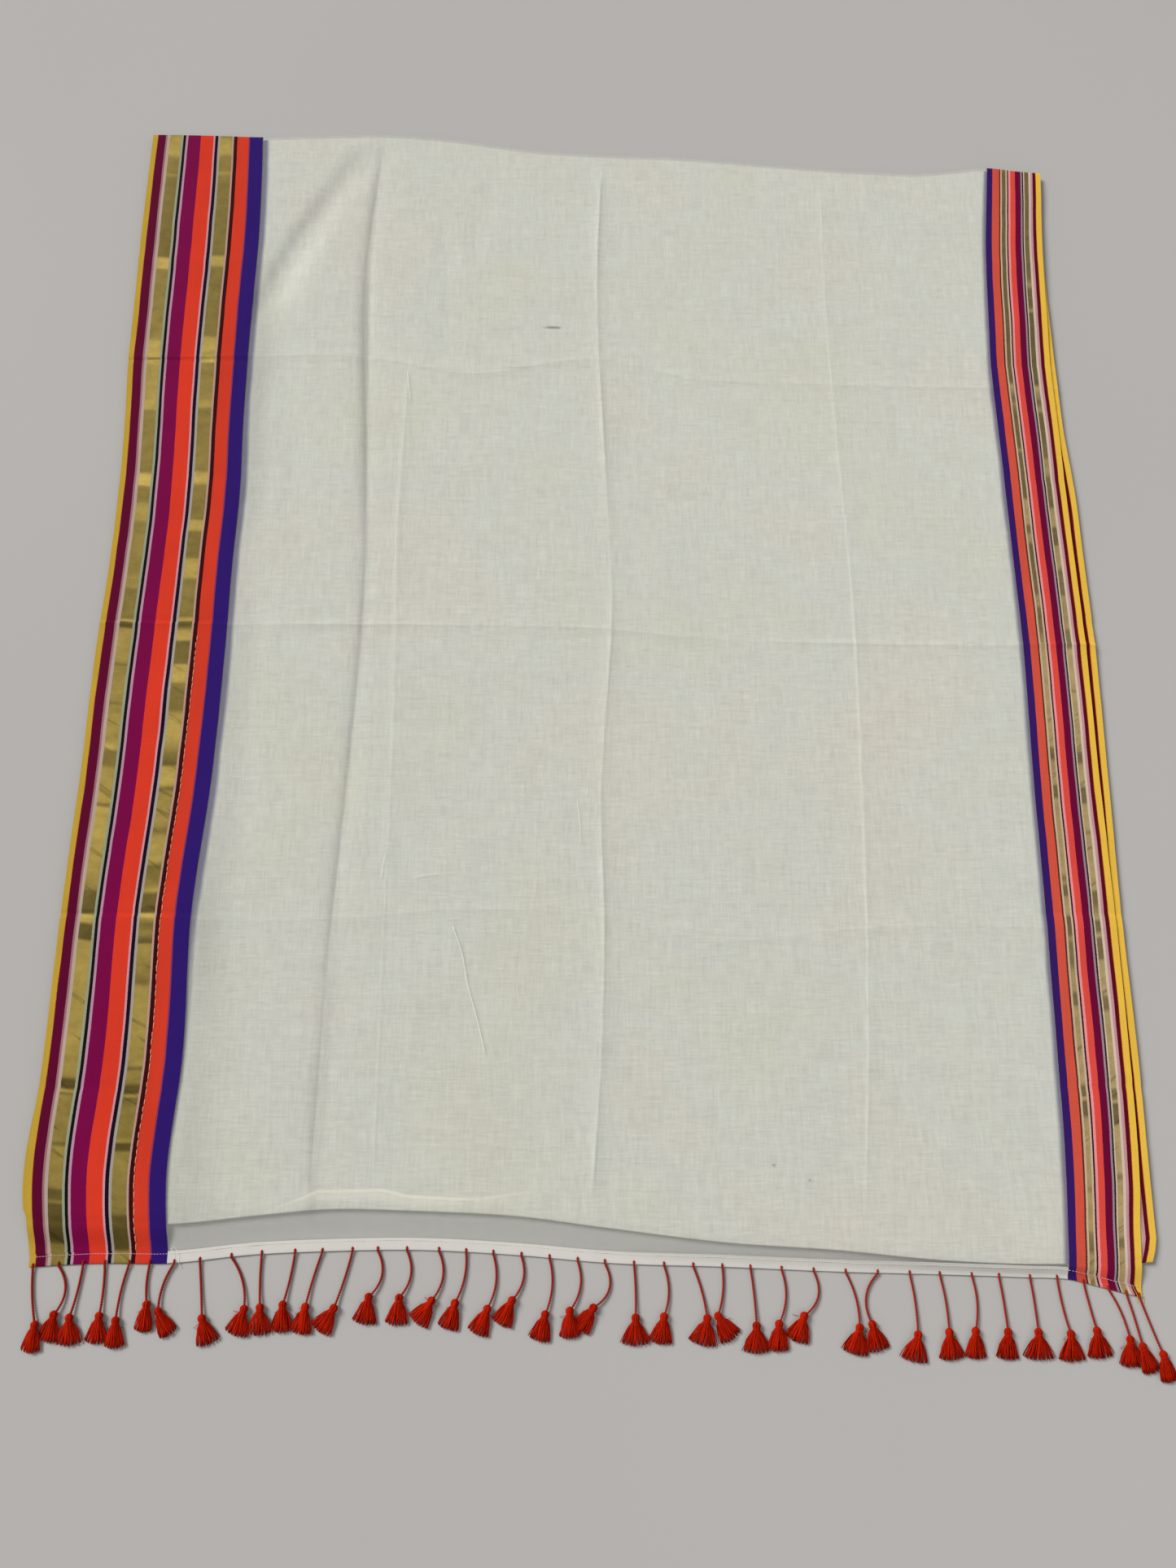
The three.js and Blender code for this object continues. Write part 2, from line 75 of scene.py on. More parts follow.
def addCamera():
    data = bpy.data.cameras.new("camera")
    data.lens = cameraView["lens"]
    data.sensor_width = cameraView["sensor"]
    data.clip_start = cameraView["nearest"]
    camera = addObject("camera", data)
    camera.location = cameraView["place"]
    camera.rotation_euler = [math.radians(a) for a in cameraView["turn"]]
    bpy.context.scene.camera = camera


def addLamp(name, kind, place, power, color=(1, 1, 1)):
    data = bpy.data.lights.new(name, kind)
    data.energy = power
    data.color = color
    lamp = addObject(name, data)
    lamp.location = place
    x, y, z = place
    lamp.rotation_euler = (math.atan2(math.hypot(x, y), z), 0, math.atan2(x, -y))
    return data


addCamera()

# Materials


def srgb(red, green, blue):
    # 0 to 255 as seen on a screen, to the linear colour that a shader takes
    return tuple(
        c / 3294.6 if c <= 10.31 else ((c / 255 + 0.055) / 1.055) ** 2.4 for c in (red, green, blue)
    ) + (1.0,)


def newMaterial(name, **values):
    material = bpy.data.materials.new(name)
    material.use_nodes = True
    shader = material.node_tree.nodes["Principled BSDF"]
    for socket, value in values.items():
        shader.inputs[socket.replace("_", " ")].default_value = value
    return material, shader


def addNode(material, kind, inputs=(), **settings):
    node = material.node_tree.nodes.new(kind)
    for key, value in settings.items():
        setattr(node, key, value)
    for key, value in dict(inputs).items():
        if isinstance(value, bpy.types.NodeSocket):
            material.node_tree.links.new(value, node.inputs[key])
        else:
            node.inputs[key].default_value = value
    return node


def link(material, output, target):
    material.node_tree.links.new(output, target)


def sums(material, operation, first, second=0.0, third=0.0):
    node = addNode(material, "ShaderNodeMath", {0: first, 1: second, 2: third}, operation=operation)
    return node.outputs[0]


def blendColors(material, factor, first, second, how="MIX"):
    node = addNode(
        material, "ShaderNodeMix", {0: factor, 6: first, 7: second}, data_type="RGBA", blend_type=how
    )
    return node.outputs[2]


def mapRange(material, value, low, high, first, last, how="LINEAR"):
    inputs = {0: value, 1: low, 2: high, 3: first, 4: last}
    return addNode(material, "ShaderNodeMapRange", inputs, interpolation_type=how).outputs[0]


def mixValues(material, factor, first, second):
    return addNode(material, "ShaderNodeMix", {0: factor, 2: first, 3: second}).outputs[0]


def centred(material, noise, size):
    # noise between 0 and 1 as a shift of up to half this size either way
    return sums(material, "MULTIPLY_ADD", noise, size, -size / 2)


def objectPlace(material):
    return addNode(material, "ShaderNodeTexCoord").outputs["Object"]


def clothPlace(material):
    # metres across and along the flat cloth
    return addNode(material, "ShaderNodeUVMap", uv_map="UVMap").outputs[0]


def partsOf(material, place):
    return addNode(material, "ShaderNodeSeparateXYZ", {0: place}).outputs


def cloudsOf(material, place, scale, detail=2.0, stretch=(1, 1, 1), rough=0.5):
    mapped = addNode(material, "ShaderNodeMapping", {"Vector": place, "Scale": stretch}).outputs[0]
    noise = addNode(
        material,
        "ShaderNodeTexNoise",
        {"Vector": mapped, "Scale": scale, "Detail": detail, "Roughness": rough},
    )
    return noise.outputs[0]


def rampOf(material, factor, stops, how="LINEAR"):
    node = addNode(material, "ShaderNodeValToRGB", {0: factor})
    ramp = node.color_ramp
    ramp.interpolation = how
    ramp.elements[0].position, ramp.elements[0].color = stops[0]
    ramp.elements[1].position, ramp.elements[1].color = stops[-1]
    for position, color in stops[1:-1]:
        ramp.elements.new(position).color = color
    return node.outputs[0]


def grey(value):
    return (value, value, value, 1.0)


def threadStreaks(material, place, alongX, alongY, strength):
    # long uneven threads both ways, as a factor round 1 that a colour is multiplied by
    weft = cloudsOf(material, place, 1.0, 2.0, (*alongX, 1))
    warp = cloudsOf(material, place, 1.0, 2.0, (*alongY, 1))
    both = sums(material, "ADD", weft, warp)
    return sums(material, "MULTIPLY_ADD", both, strength, 1.0 - strength)


waveUnit = 0.314  # metres between a wave texture's crests at scale 1


def weaveHeight(material, place, pitch):
    # plain weave: threads both ways at one pitch, in metres
    inputs = {"Vector": place, "Scale": waveUnit / pitch}
    across, along = (
        addNode(material, "ShaderNodeTexWave", inputs, bands_direction=way).outputs[1] for way in "XY"
    )
    return sums(material, "MULTIPLY", across, along)


def bumpFrom(material, shader, height, distance, strength):
    bump = addNode(
        material, "ShaderNodeBump", {"Strength": strength, "Distance": distance, "Height": height}
    )
    link(material, bump.outputs[0], shader.inputs["Normal"])


voileLook = {
    "cream": (199, 196, 186),
    "green": (197, 197, 184),
    "blue": (197, 198, 189),
    "patchScale": 4.2,
    "opacity": 0.15,  # of one face: a layer has two
    "threads": 0.27,  # how strongly single threads show, and then thick ones
    "slubs": 0.13,
    "hemFalloff": (-0.5, 0.35, 0.962, 1.0),  # painted shade that deepens towards the hem: metres along from and to, and how deep the colour is at each
    "threadPitch": 0.0009,
    "stainColor": (120, 112, 98),
    "hazeColor": (46, 36, 104),  # the violet of the layers below, seen through the top one
    "hazeWidth": 5.5,  # mm beside the wide border, and less beside the narrow one
    "hazeSoftness": (0.55, 1.6),  # shares of that width where it starts to fade and where it ends
    "hazeEnd": (-0.45, -0.25, 0.1, 1.0),  # metres along from and to, and how strong it is at each
}

# Small marks: place across and along the cloth, size both ways, all in mm, and strength
stains = (
    (-50, 464, 13, 2.2, 0.75),
    (-96, 405, 20, 1.6, 0.22),
    (188, -551, 2.4, 2.4, 0.4),
    (225, -566, 2.0, 2.0, 0.4),
)


def stainMask(material, place):
    whole = None
    ragged = cloudsOf(material, place, 320.0, 2.0)
    for x, y, wide, long, strength in stains:
        centre = (-x / wide, -y / long, 0)
        scale = (1 / (wide * mm), 1 / (long * mm), 0)
        inputs = {"Vector": place, "Location": centre, "Scale": scale}
        local = addNode(material, "ShaderNodeMapping", inputs).outputs[0]
        distance = addNode(material, "ShaderNodeVectorMath", {0: local}, operation="LENGTH").outputs[1]
        edge = sums(material, "ADD", distance, centred(material, ragged, 0.9))
        spot = mapRange(material, edge, 1.15, 0.5, 0.0, strength, "SMOOTHSTEP")
        whole = spot if whole is None else sums(material, "MAXIMUM", whole, spot)
    return whole


def multiplied(material, color, factor):
    shade = addNode(material, "ShaderNodeCombineColor", {0: factor, 1: factor, 2: factor}).outputs[0]
    return blendColors(material, 1.0, color, shade, "MULTIPLY")


def makeVoile(name, alpha):
    material, shader = newMaterial(name, Roughness=0.95, Specular_IOR_Level=0.1, Alpha=alpha)
    place = objectPlace(material)
    patches = cloudsOf(material, place, voileLook["patchScale"], 3.0)
    tones = [srgb(*voileLook[key]) for key in ("green", "blue", "cream")]
    color = rampOf(material, patches, [(0.3, tones[0]), (0.5, tones[1]), (0.7, tones[2])])
    fine = threadStreaks(material, place, (55, 560), (520, 45), voileLook["threads"])
    slubs = threadStreaks(material, place, (14, 190), (170, 11), voileLook["slubs"])
    color = multiplied(material, color, sums(material, "MULTIPLY", fine, slubs))
    # painted shade: a little darker towards the hem, and painted shade along the fold lines, with painted
    # highlight where the shade attribute falls below zero
    level = mapRange(material, partsOf(material, place)[1], *voileLook["hemFalloff"])
    shade = addNode(material, "ShaderNodeAttribute", attribute_name="shade").outputs["Fac"]
    paintedShadeFactor = sums(material, "SUBTRACT", 1.0, shade)
    color = multiplied(material, color, sums(material, "MULTIPLY", level, paintedShadeFactor))
    return material, shader, place, color


def finishVoile(material, shader, place, color):
    color = blendColors(material, stainMask(material, place), color, srgb(*voileLook["stainColor"]))
    link(material, color, shader.inputs["Base Color"])
    weave = weaveHeight(material, place, voileLook["threadPitch"])
    bumpFrom(material, shader, weave, 0.00025, 0.3)
    return material


def makeTopVoile():
    return finishVoile(*makeVoile("sheerVoile", voileLook["opacity"]))


# The plain end's hem, low down inside the stack: x across and y along of its middle, in mm
plainEndHem = (
    (-354, -602), (-330, -592), (-305, -583), (-289, -576), (-221, -575), (-195, -581), (-145, -584),
    (-119, -584), (-77, -578), (-43, -574),
)
plainEndLook = {
    "color": (226, 222, 205),
    "low": -620,  # a place below the whole line, and how far the table reaches above it, in mm
    "span": 60,
    "lineWidth": (0.0024, 0.0008),  # metres off its middle where the edge starts to show and is full
    "lineStrength": 0.8,
    "depth": 0.02,  # metres over which the turned cloth below the edge fades out
}


def violetHaze(material, place):
    # the violet edges of all three lower layers blur together beside the borders
    away = partsOf(material, clothPlace(material))[0]
    edge = centred(material, cloudsOf(material, place, 1.0, 2.0, (20, 12, 1)), 0.004)
    across, along, _ = partsOf(material, place)
    fades = mapRange(material, along, *voileLook["hazeEnd"])
    fades = sums(material, "MAXIMUM", fades, sums(material, "GREATER_THAN", across, 0.0))
    spread = sums(material, "MULTIPLY_ADD", fades, 0.6, 0.4)
    scaled = sums(material, "DIVIDE", sums(material, "ADD", away, edge), spread)
    start, stop = (voileLook["hazeWidth"] * mm * share for share in voileLook["hazeSoftness"])
    return sums(material, "MULTIPLY", mapRange(material, scaled, start, stop, 1.0, 0.0, "SMOOTHSTEP"), fades)


def plainEndBand(material, place):
    # the turned edge of the plain end shows as a paler band
    across, along, _ = partsOf(material, place)
    first, last = plainEndHem[0][0], plainEndHem[-1][0]
    low, span = plainEndLook["low"], plainEndLook["span"]
    share = mapRange(material, across, first * mm, last * mm, 0.0, 1.0)
    stops = [((x - first) / (last - first), grey((y - low) / span)) for x, y in plainEndHem]
    middle = sums(material, "MULTIPLY_ADD", rampOf(material, share, stops), span * mm, low * mm)
    off = sums(material, "ABSOLUTE", sums(material, "SUBTRACT", along, middle))
    uneven = centred(material, cloudsOf(material, place, 45.0, 2.0), 0.004)
    below = sums(material, "SUBTRACT", sums(material, "SUBTRACT", middle, along), uneven)
    edgeLine = mapRange(material, off, *plainEndLook["lineWidth"], 0.0, plainEndLook["lineStrength"])
    turnedUnder = rampOf(
        material,
        sums(material, "MULTIPLY", below, 1 / plainEndLook["depth"]),
        [(0.0, grey(0.0)), (0.06, grey(0.36)), (0.4, grey(0.28)), (0.62, grey(0.0))],
    )
    ends = rampOf(material, share, [(0.0, grey(0.0)), (0.2, grey(0.8)), (0.6, grey(1.0)), (1.0, grey(0.0))])
    return sums(material, "MULTIPLY", sums(material, "MAXIMUM", edgeLine, turnedUnder), ends)


def makeInnerVoile():
    material, shader, place, color = makeVoile("innerVoile", 1.0)
    color = blendColors(material, violetHaze(material, place), color, srgb(*voileLook["hazeColor"]))
    color = blendColors(material, plainEndBand(material, place), color, srgb(*plainEndLook["color"]))
    return finishVoile(material, shader, place, color)


# Stripes from the outer selvedge inwards: name, width in mm, colour
wideStripes = (
    ("yellow", 5.6, (168, 137, 46)),
    ("orange edge", 0.7, (163, 90, 31)),
    ("plum", 10.1, (80, 1, 37)),
    ("rose line", 2.1, (136, 98, 100)),
    ("cream line", 3.0, (160, 142, 130)),
    ("outer gold", 14.6, (121, 104, 51)),
    ("pale green line", 2.5, (132, 136, 116)),
    ("black", 3.6, (10, 7, 7)),
    ("pink line", 2.4, (161, 124, 141)),
    ("magenta", 15.8, (105, 1, 58)),
    ("orange", 16.6, (191, 50, 30)),
    ("pink line", 2.5, (180, 128, 136)),
    ("navy", 3.6, (15, 5, 23)),
    ("cream line", 2.7, (145, 136, 127)),
    ("inner gold", 15.4, (122, 105, 52)),
    ("cream line", 2.4, (160, 130, 119)),
    ("maroon", 3.9, (48, 5, 7)),
    ("orange", 14.6, (185, 51, 31)),
    ("pink thread", 1.7, (124, 48, 76)),
    ("violet", 16.6, (39, 17, 93)),
)
narrowStripes = (
    ("yellow", 6.4, (204, 164, 60)),
    ("orange edge", 0.7, (167, 95, 40)),
    ("plum", 3.9, (76, 6, 15)),
    ("pink line", 2.8, (170, 124, 134)),
    ("cream line", 2.8, (186, 167, 147)),
    ("outer gold", 5.6, (166, 144, 101)),
    ("cream line", 1.5, (178, 163, 132)),
    ("navy", 1.7, (29, 23, 34)),
    ("grey line", 2.1, (136, 116, 121)),
    ("plum", 7.5, (90, 4, 44)),
    ("orange", 6.5, (193, 65, 55)),
    ("pink line", 2.6, (205, 128, 130)),
    ("navy", 1.7, (33, 17, 29)),
    ("cream line", 2.0, (178, 152, 128)),
    ("inner gold", 5.0, (162, 140, 98)),
    ("cream line", 2.0, (176, 152, 123)),
    ("dark line", 1.5, (70, 34, 29)),
    ("orange", 9.3, (182, 71, 54)),
    ("violet", 7.9, (45, 20, 83)),
)

# Painted reflections and painted shade on the gold bands, as they flash and dull along the cloth where it
# puckers: place along in mm, and tone
wideGoldSheen = {
    "outer gold": (
        (-652, 1.05), (-624, 1.0), (-621, 0.52), (-584, 0.56), (-581, 1.0), (-577, 0.6), (-569, 0.6),
        (-566, 1.1), (-527, 1.15), (-524, 0.65), (-520, 0.98), (-476, 0.95), (-473, 0.6), (-470, 1.3),
        (-467, 0.45), (-459, 0.5), (-455, 1.15), (-312, 1.15), (-309, 0.45), (-294, 0.5), (-291, 1.15),
        (-284, 1.1), (-281, 0.5), (-258, 0.55), (-252, 0.9),
        (-208, 1.15), (-162, 1.2), (-158, 0.6), (-154, 1.0),
        (-116, 1.0), (-110, 0.62), (-95, 0.62), (-91, 1.2), (-84, 0.9), (-70, 0.95), (-40, 0.82), (-37, 0.6),
        (-33, 0.8), (8, 0.76), (10, 0.6), (14, 0.86), (56, 0.9), (58, 0.4), (64, 0.42), (66, 1.15),
        (70, 0.62), (105, 0.6), (109, 0.8), (122, 0.76), (130, 0.64), (160, 0.74), (192, 0.66), (198, 0.95),
        (217, 0.95), (221, 0.65), (240, 0.65), (243, 1.2), (258, 1.15), (261, 0.64), (345, 0.66), (348, 0.95),
        (409, 0.9), (413, 1.1), (445, 1.05), (452, 0.7), (551, 0.72), (554, 1.15), (567, 1.15), (570, 0.56),
        (694, 0.62), (697, 0.9), (701, 0.7), (724, 0.75), (730, 1.1), (757, 1.0),
    ),
    "inner gold": (
        (-652, 1.15), (-634, 1.15), (-631, 0.55), (-600, 0.62), (-596, 0.95), (-560, 1.1), (-537, 1.05),
        (-534, 0.5), (-528, 0.45), (-525, 1.25), (-520, 0.9), (-492, 0.95), (-482, 0.6), (-479, 1.2),
        (-476, 0.45), (-470, 0.5), (-466, 1.0), (-455, 1.0), (-451, 0.65), (-447, 1.15), (-366, 1.15),
        (-360, 0.7), (-348, 0.9), (-332, 1.1), (-319, 1.05), (-316, 0.45), (-312, 0.6), (-306, 0.95),
        (-296, 0.7), (-290, 1.15), (-285, 1.1), (-282, 0.5), (-263, 0.55), (-258, 1.15), (-252, 0.85),
        (-232, 0.6), (-225, 1.15), (-202, 1.1), (-192, 0.62), (-180, 0.95), (-145, 0.9), (-141, 0.6),
        (-136, 1.15), (-117, 1.1), (-113, 0.5), (-104, 0.65), (-79, 1.1), (-54, 1.1), (-47, 0.62),
        (-16, 0.7), (-13, 1.15), (6, 1.1), (9, 0.55), (36, 0.5), (40, 1.15), (50, 1.0), (56, 0.45),
        (60, 0.45), (64, 1.2), (68, 0.68), (115, 0.66), (119, 1.05), (141, 1.0), (145, 0.6), (178, 0.62),
        (181, 1.1), (192, 1.05), (195, 0.64), (240, 0.66), (244, 1.15), (256, 1.1), (260, 0.7), (345, 0.68),
        (349, 1.1), (360, 0.8), (409, 0.72), (413, 1.3), (424, 0.95), (430, 1.2), (446, 1.0), (452, 0.62),
        (551, 0.66), (555, 1.15), (567, 1.1), (571, 0.62), (690, 0.7), (697, 1.0), (701, 0.72), (722, 0.85),
        (728, 1.15), (757, 1.0),
    ),
}
narrowGoldSheen = {
    "outer gold": (
        (-664, 0.9), (-632, 0.9), (-628, 0.5), (-622, 0.55), (-618, 1.0), (-566, 1.0), (-560, 0.6),
        (-554, 1.0), (-508, 1.0), (-505, 0.42), (-487, 0.45), (-484, 1.15), (-481, 0.5), (-472, 0.5),
        (-469, 1.05), (-392, 1.0), (-386, 0.55), (-374, 0.55), (-370, 1.05), (-336, 1.0), (-332, 0.5),
        (-311, 0.55), (-307, 1.1), (-302, 0.5), (-292, 0.5), (-288, 1.05), (-270, 0.5), (-259, 0.5),
        (-255, 1.05), (-194, 1.0), (-190, 0.7), (-186, 1.05), (-158, 1.0), (-155, 0.5), (-140, 0.5),
        (-136, 1.05), (-110, 1.0), (-106, 0.5), (-96, 0.5), (-92, 1.05), (-24, 1.05), (-20, 0.7), (-16, 1.05),
        (30, 1.1), (34, 0.55), (54, 0.6), (60, 0.95), (98, 0.9), (102, 0.55), (130, 0.55), (136, 1.0),
        (164, 0.95), (168, 0.45), (188, 0.5), (192, 1.05), (214, 0.9), (218, 0.5), (256, 0.5), (262, 1.0),
        (280, 0.9), (286, 0.5), (346, 0.45), (350, 0.9), (362, 0.5), (374, 0.9), (382, 1.05), (388, 0.42),
        (490, 0.42), (495, 0.9), (500, 0.42), (528, 0.5), (534, 0.9), (545, 0.5), (700, 0.46), (757, 0.5),
    ),
    "inner gold": (
        (-664, 0.9), (-640, 0.9), (-634, 0.5), (-620, 0.6), (-614, 1.0), (-580, 1.0), (-574, 0.7),
        (-568, 1.0), (-504, 1.0), (-500, 0.42), (-487, 0.45), (-483, 1.15), (-480, 0.5), (-471, 0.5),
        (-467, 1.05),
        (-388, 1.0), (-384, 0.5), (-374, 0.55), (-370, 1.0), (-350, 1.0), (-340, 0.6), (-318, 0.6),
        (-312, 0.9), (-308, 0.45), (-290, 0.45), (-286, 1.05), (-268, 1.0), (-264, 0.5), (-254, 0.5),
        (-250, 1.0), (-244, 0.6), (-238, 1.05), (-154, 1.0), (-150, 0.5), (-138, 0.5), (-134, 1.05),
        (-110, 1.0), (-105, 0.5), (-94, 0.55), (-90, 1.05), (28, 1.1), (33, 0.95), (54, 0.55), (80, 0.5),
        (86, 0.95), (96, 0.9), (100, 0.5), (164, 0.48), (168, 0.9), (176, 0.95), (180, 0.5), (188, 0.5),
        (192, 1.05), (222, 1.0), (228, 0.45), (288, 0.5), (292, 0.85), (296, 0.46), (346, 0.46), (356, 0.8),
        (366, 0.46), (376, 0.85), (383, 1.0), (388, 0.44), (700, 0.46), (730, 0.8), (757, 0.5),
    ),
}

goldLook = {
    "metal": 0.5,
    "roughness": 0.45,
    "pieces": 3,  # ramps that one table is shared out over
    "wideDepth": 1.3,
    "narrowDepth": 1.1,
    "wrinkleTurn": 0.55,
    "wrinkleShades": (-0.1, 0.1, -0.38, -0.08),  # painted shade in the wrinkles: metres along from and to, and how dark they are at each
}
stripeLook = {
    "wander": 0.0022,  # metres that an edge strays slowly, and then thread by thread
    "ragged": 0.0006,
    "roughness": 0.85,
    "specular": 0.06,
    "threadPitch": 0.0007,
}


def toneAlong(material, along, table):
    # a long table read through several ramps, one after another, each for its own stretch
    places = [place for place, _ in table]
    count = goldLook["pieces"]
    cuts = [round(k * (len(table) - 1) / count) for k in range(count + 1)]
    tone = None
    for low, high in zip(cuts, cuts[1:]):
        start, stop = places[low], places[high]
        share = mapRange(material, along, start * mm, stop * mm, 0.0, 1.0)
        stops = [((p - start) / (stop - start), grey(t / 2)) for p, t in table[low:high + 1]]
        piece = rampOf(material, share, stops)
        if tone is None:
            tone = piece
        else:
            past = sums(material, "GREATER_THAN", along, start * mm)
            tone = mixValues(material, past, tone, piece)
    return sums(material, "MULTIPLY", tone, 2.0)


def widthOf(stripes):
    return sum(width for _, width, _ in stripes)


def goldSheenAndStreaks(material, flat, which, goldSheenTables, goldDepth):
    # metal thread: painted reflections that flash and dull along its length, a mottled painted sheen,
    # slanting wrinkles painted as shade, and uneven threads
    across, along, _ = partsOf(material, flat)
    uneven = cloudsOf(material, flat, 1.0, 2.0, (12, 18, 1))
    skewed = sums(material, "ADD", along, centred(material, uneven, 0.006))
    slanted = sums(material, "MULTIPLY_ADD", across, 0.12, skewed)
    outer = toneAlong(material, slanted, goldSheenTables["outer gold"])
    inside = toneAlong(material, skewed, goldSheenTables["inner gold"])
    tone = mixValues(material, sums(material, "GREATER_THAN", which, 0.75), outer, inside)
    tone = sums(material, "POWER", tone, goldDepth)
    mottledSheen = cloudsOf(material, flat, 1.0, 3.0, (70, 95, 1), 0.6)
    tone = sums(material, "MULTIPLY", tone, sums(material, "MULTIPLY_ADD", mottledSheen, 0.7, 0.66))
    turn = {"Vector": flat, "Rotation": (0, 0, goldLook["wrinkleTurn"])}
    turned = addNode(material, "ShaderNodeMapping", turn).outputs[0]
    wrinkleShades = cloudsOf(material, turned, 1.0, 1.0, (14, 110, 1), 0.4)
    wrinkleShade = rampOf(material, wrinkleShades, [(0.62, grey(0.0)), (0.68, grey(1.0)), (0.75, grey(0.0))])
    darkness = mapRange(material, along, *goldLook["wrinkleShades"])
    tone = sums(material, "MULTIPLY", tone, sums(material, "MULTIPLY_ADD", wrinkleShade, darkness, 1.0))
    return sums(material, "MULTIPLY", tone, threadStreaks(material, flat, (80, 1500), (1300, 30), 0.22))


def makeStripes(name, stripes, goldSheenTables, goldDepth):
    total = widthOf(stripes)
    material, shader = newMaterial(name, Specular_IOR_Level=stripeLook["specular"])
    flat = clothPlace(material)
    # the stripes' edges wander by a thread or so
    slow = cloudsOf(material, flat, 1.0, 2.0, (20, 9, 1))
    quick = cloudsOf(material, flat, 1.0, 1.0, (900, 700, 1))
    across = sums(material, "ADD", partsOf(material, flat)[0], centred(material, slow, stripeLook["wander"]))
    across = sums(material, "ADD", across, centred(material, quick, stripeLook["ragged"]))
    share = sums(material, "DIVIDE", across, total * mm)
    colorStops, goldStops, start = [], [], 0.0
    for stripe, width, color in stripes:
        colorStops.append((start / total, srgb(*color)))
        goldStops.append((start / total, grey({"outer gold": 0.5, "inner gold": 1.0}.get(stripe, 0.0))))
        start += width
    changes = [goldStops[0]] + [b for a, b in zip(goldStops, goldStops[1:]) if a[1] != b[1]]
    color = rampOf(material, share, colorStops, "CONSTANT")
    which = rampOf(material, share, changes, "CONSTANT")
    gold = sums(material, "GREATER_THAN", which, 0.25)
    # cotton: fine threads along the stripe, and a slow change of depth
    streaks = threadStreaks(material, flat, (60, 900), (900, 14), 0.16)
    cotton = sums(material, "MULTIPLY", streaks, sums(material, "MULTIPLY_ADD", slow, 0.22, 0.89))
    tone = mixValues(material, gold, cotton, goldSheenAndStreaks(material, flat, which, goldSheenTables, goldDepth))
    link(material, multiplied(material, color, tone), shader.inputs["Base Color"])
    link(material, sums(material, "MULTIPLY", gold, goldLook["metal"]), shader.inputs["Metallic"])
    rough = mixValues(material, gold, stripeLook["roughness"], goldLook["roughness"])
    link(material, rough, shader.inputs["Roughness"])
    weave = weaveHeight(material, flat, stripeLook["threadPitch"])
    bumpFrom(material, shader, sums(material, "MULTIPLY_ADD", quick, 0.6, weave), 0.0002, 0.35)
    return material


def makeCotton(name, color, contrast):
    # plain thread or cloth of one colour, with uneven threads
    material, shader = newMaterial(name, Roughness=0.9, Specular_IOR_Level=0.1)
    place = objectPlace(material)
    streaks = threadStreaks(material, place, (120, 1500), (1500, 90), contrast)
    link(material, multiplied(material, srgb(*color), streaks), shader.inputs["Base Color"])
    bumpFrom(material, shader, weaveHeight(material, place, 0.0006), 0.0002, 0.3)
    return material


def makeTasselThread(name, color, darker):
    # dyed thread with painted light and shade read from its tone attribute: strands lighter on top and deeper
    # below, painted shade low down between the locks, and some random change of tone
    material, shader = newMaterial(name, Roughness=0.85, Specular_IOR_Level=0.05)
    tone = addNode(material, "ShaderNodeAttribute", attribute_name="tone").outputs["Fac"]
    place = objectPlace(material)
    fuzz = cloudsOf(material, place, 900.0, 2.0)
    mixed = sums(material, "ADD", tone, centred(material, fuzz, 0.5))
    dyeAndShade = rampOf(material, mixed, [(0.1, srgb(*darker)), (0.75, srgb(*color))])
    link(material, dyeAndShade, shader.inputs["Base Color"])
    bumpFrom(material, shader, fuzz, 0.0002, 0.3)
    return material


def makeFloor():
    material, shader = newMaterial("plainFloor", Roughness=0.85)
    place = objectPlace(material)
    clouds = cloudsOf(material, place, 1.2, 2.0)
    tone = srgb(*studio["floorColor"])
    paler = tuple(min(1.0, c * 1.03) for c in tone[:3]) + (1.0,)
    link(material, rampOf(material, clouds, [(0.3, tone), (0.7, paler)]), shader.inputs["Base Color"])
    return material


finishes = {
    "voile": makeTopVoile(),
    "innerVoile": makeInnerVoile(),
    "hem": makeCotton("hemCotton", (188, 185, 179), 0.10),
    "wide": makeStripes("wideStripes", wideStripes, wideGoldSheen, goldLook["wideDepth"]),
    "narrow": makeStripes("narrowStripes", narrowStripes, narrowGoldSheen, goldLook["narrowDepth"]),
    "pinkThread": makeCotton("pinkStitchThread", (190, 150, 164), 0.1),
    "handStitch": makeCotton("handStitchThread", (226, 146, 116), 0.1),
    "whiteThread": makeCotton("looseThread", (206, 203, 196), 0.1),
    "paleThread": makeCotton("paleLooseThread", (228, 225, 215), 0.06),
    "yellowThread": makeCotton("looseYellowThread", (226, 168, 52), 0.1),
    "tassel": makeTasselThread("tasselThread", (163, 25, 1), (100, 5, 0)),
    "cord": makeTasselThread("cordThread", (146, 38, 26), (84, 18, 11)),
}
print("materials made:", len(finishes))


def addStudio():
    bm = bmesh.new()
    bmesh.ops.create_grid(bm, x_segments=1, y_segments=1, size=studio["floorSize"] / 2)
    bmesh.ops.translate(bm, vec=(0, 0, -studio["floorDrop"]), verts=bm.verts)
    mesh = bpy.data.meshes.new("floor")
    bm.to_mesh(mesh)
    bm.free()
    mesh.materials.append(makeFloor())
    addObject("floor", mesh)
    world = bpy.data.worlds.new("softSky")
    world.use_nodes = True
    background = world.node_tree.nodes["Background"]
    background.inputs["Color"].default_value = studio["skyColor"] + (1.0,)
    background.inputs["Strength"].default_value = studio["skyStrength"]
    bpy.context.scene.world = world
    key = addLamp("keyLight", "SUN", studio["keyFrom"], studio["keyPower"], studio["keyColor"])
    key.angle = math.radians(studio["keySpread"])
    fill = addLamp("fillLight", "AREA", studio["fillPlace"], studio["fillPower"])
    fill.shape = "SQUARE"
    fill.size = studio["fillSize"]
    bpy.context.scene.view_settings.view_transform = "Standard"


addStudio()
print("camera, floor and lights placed")

# The cloth's lines, as in the frame


def tableOf(names, rows):
    columns = np.array(rows, float).T
    return dict(zip(names.split(), columns))


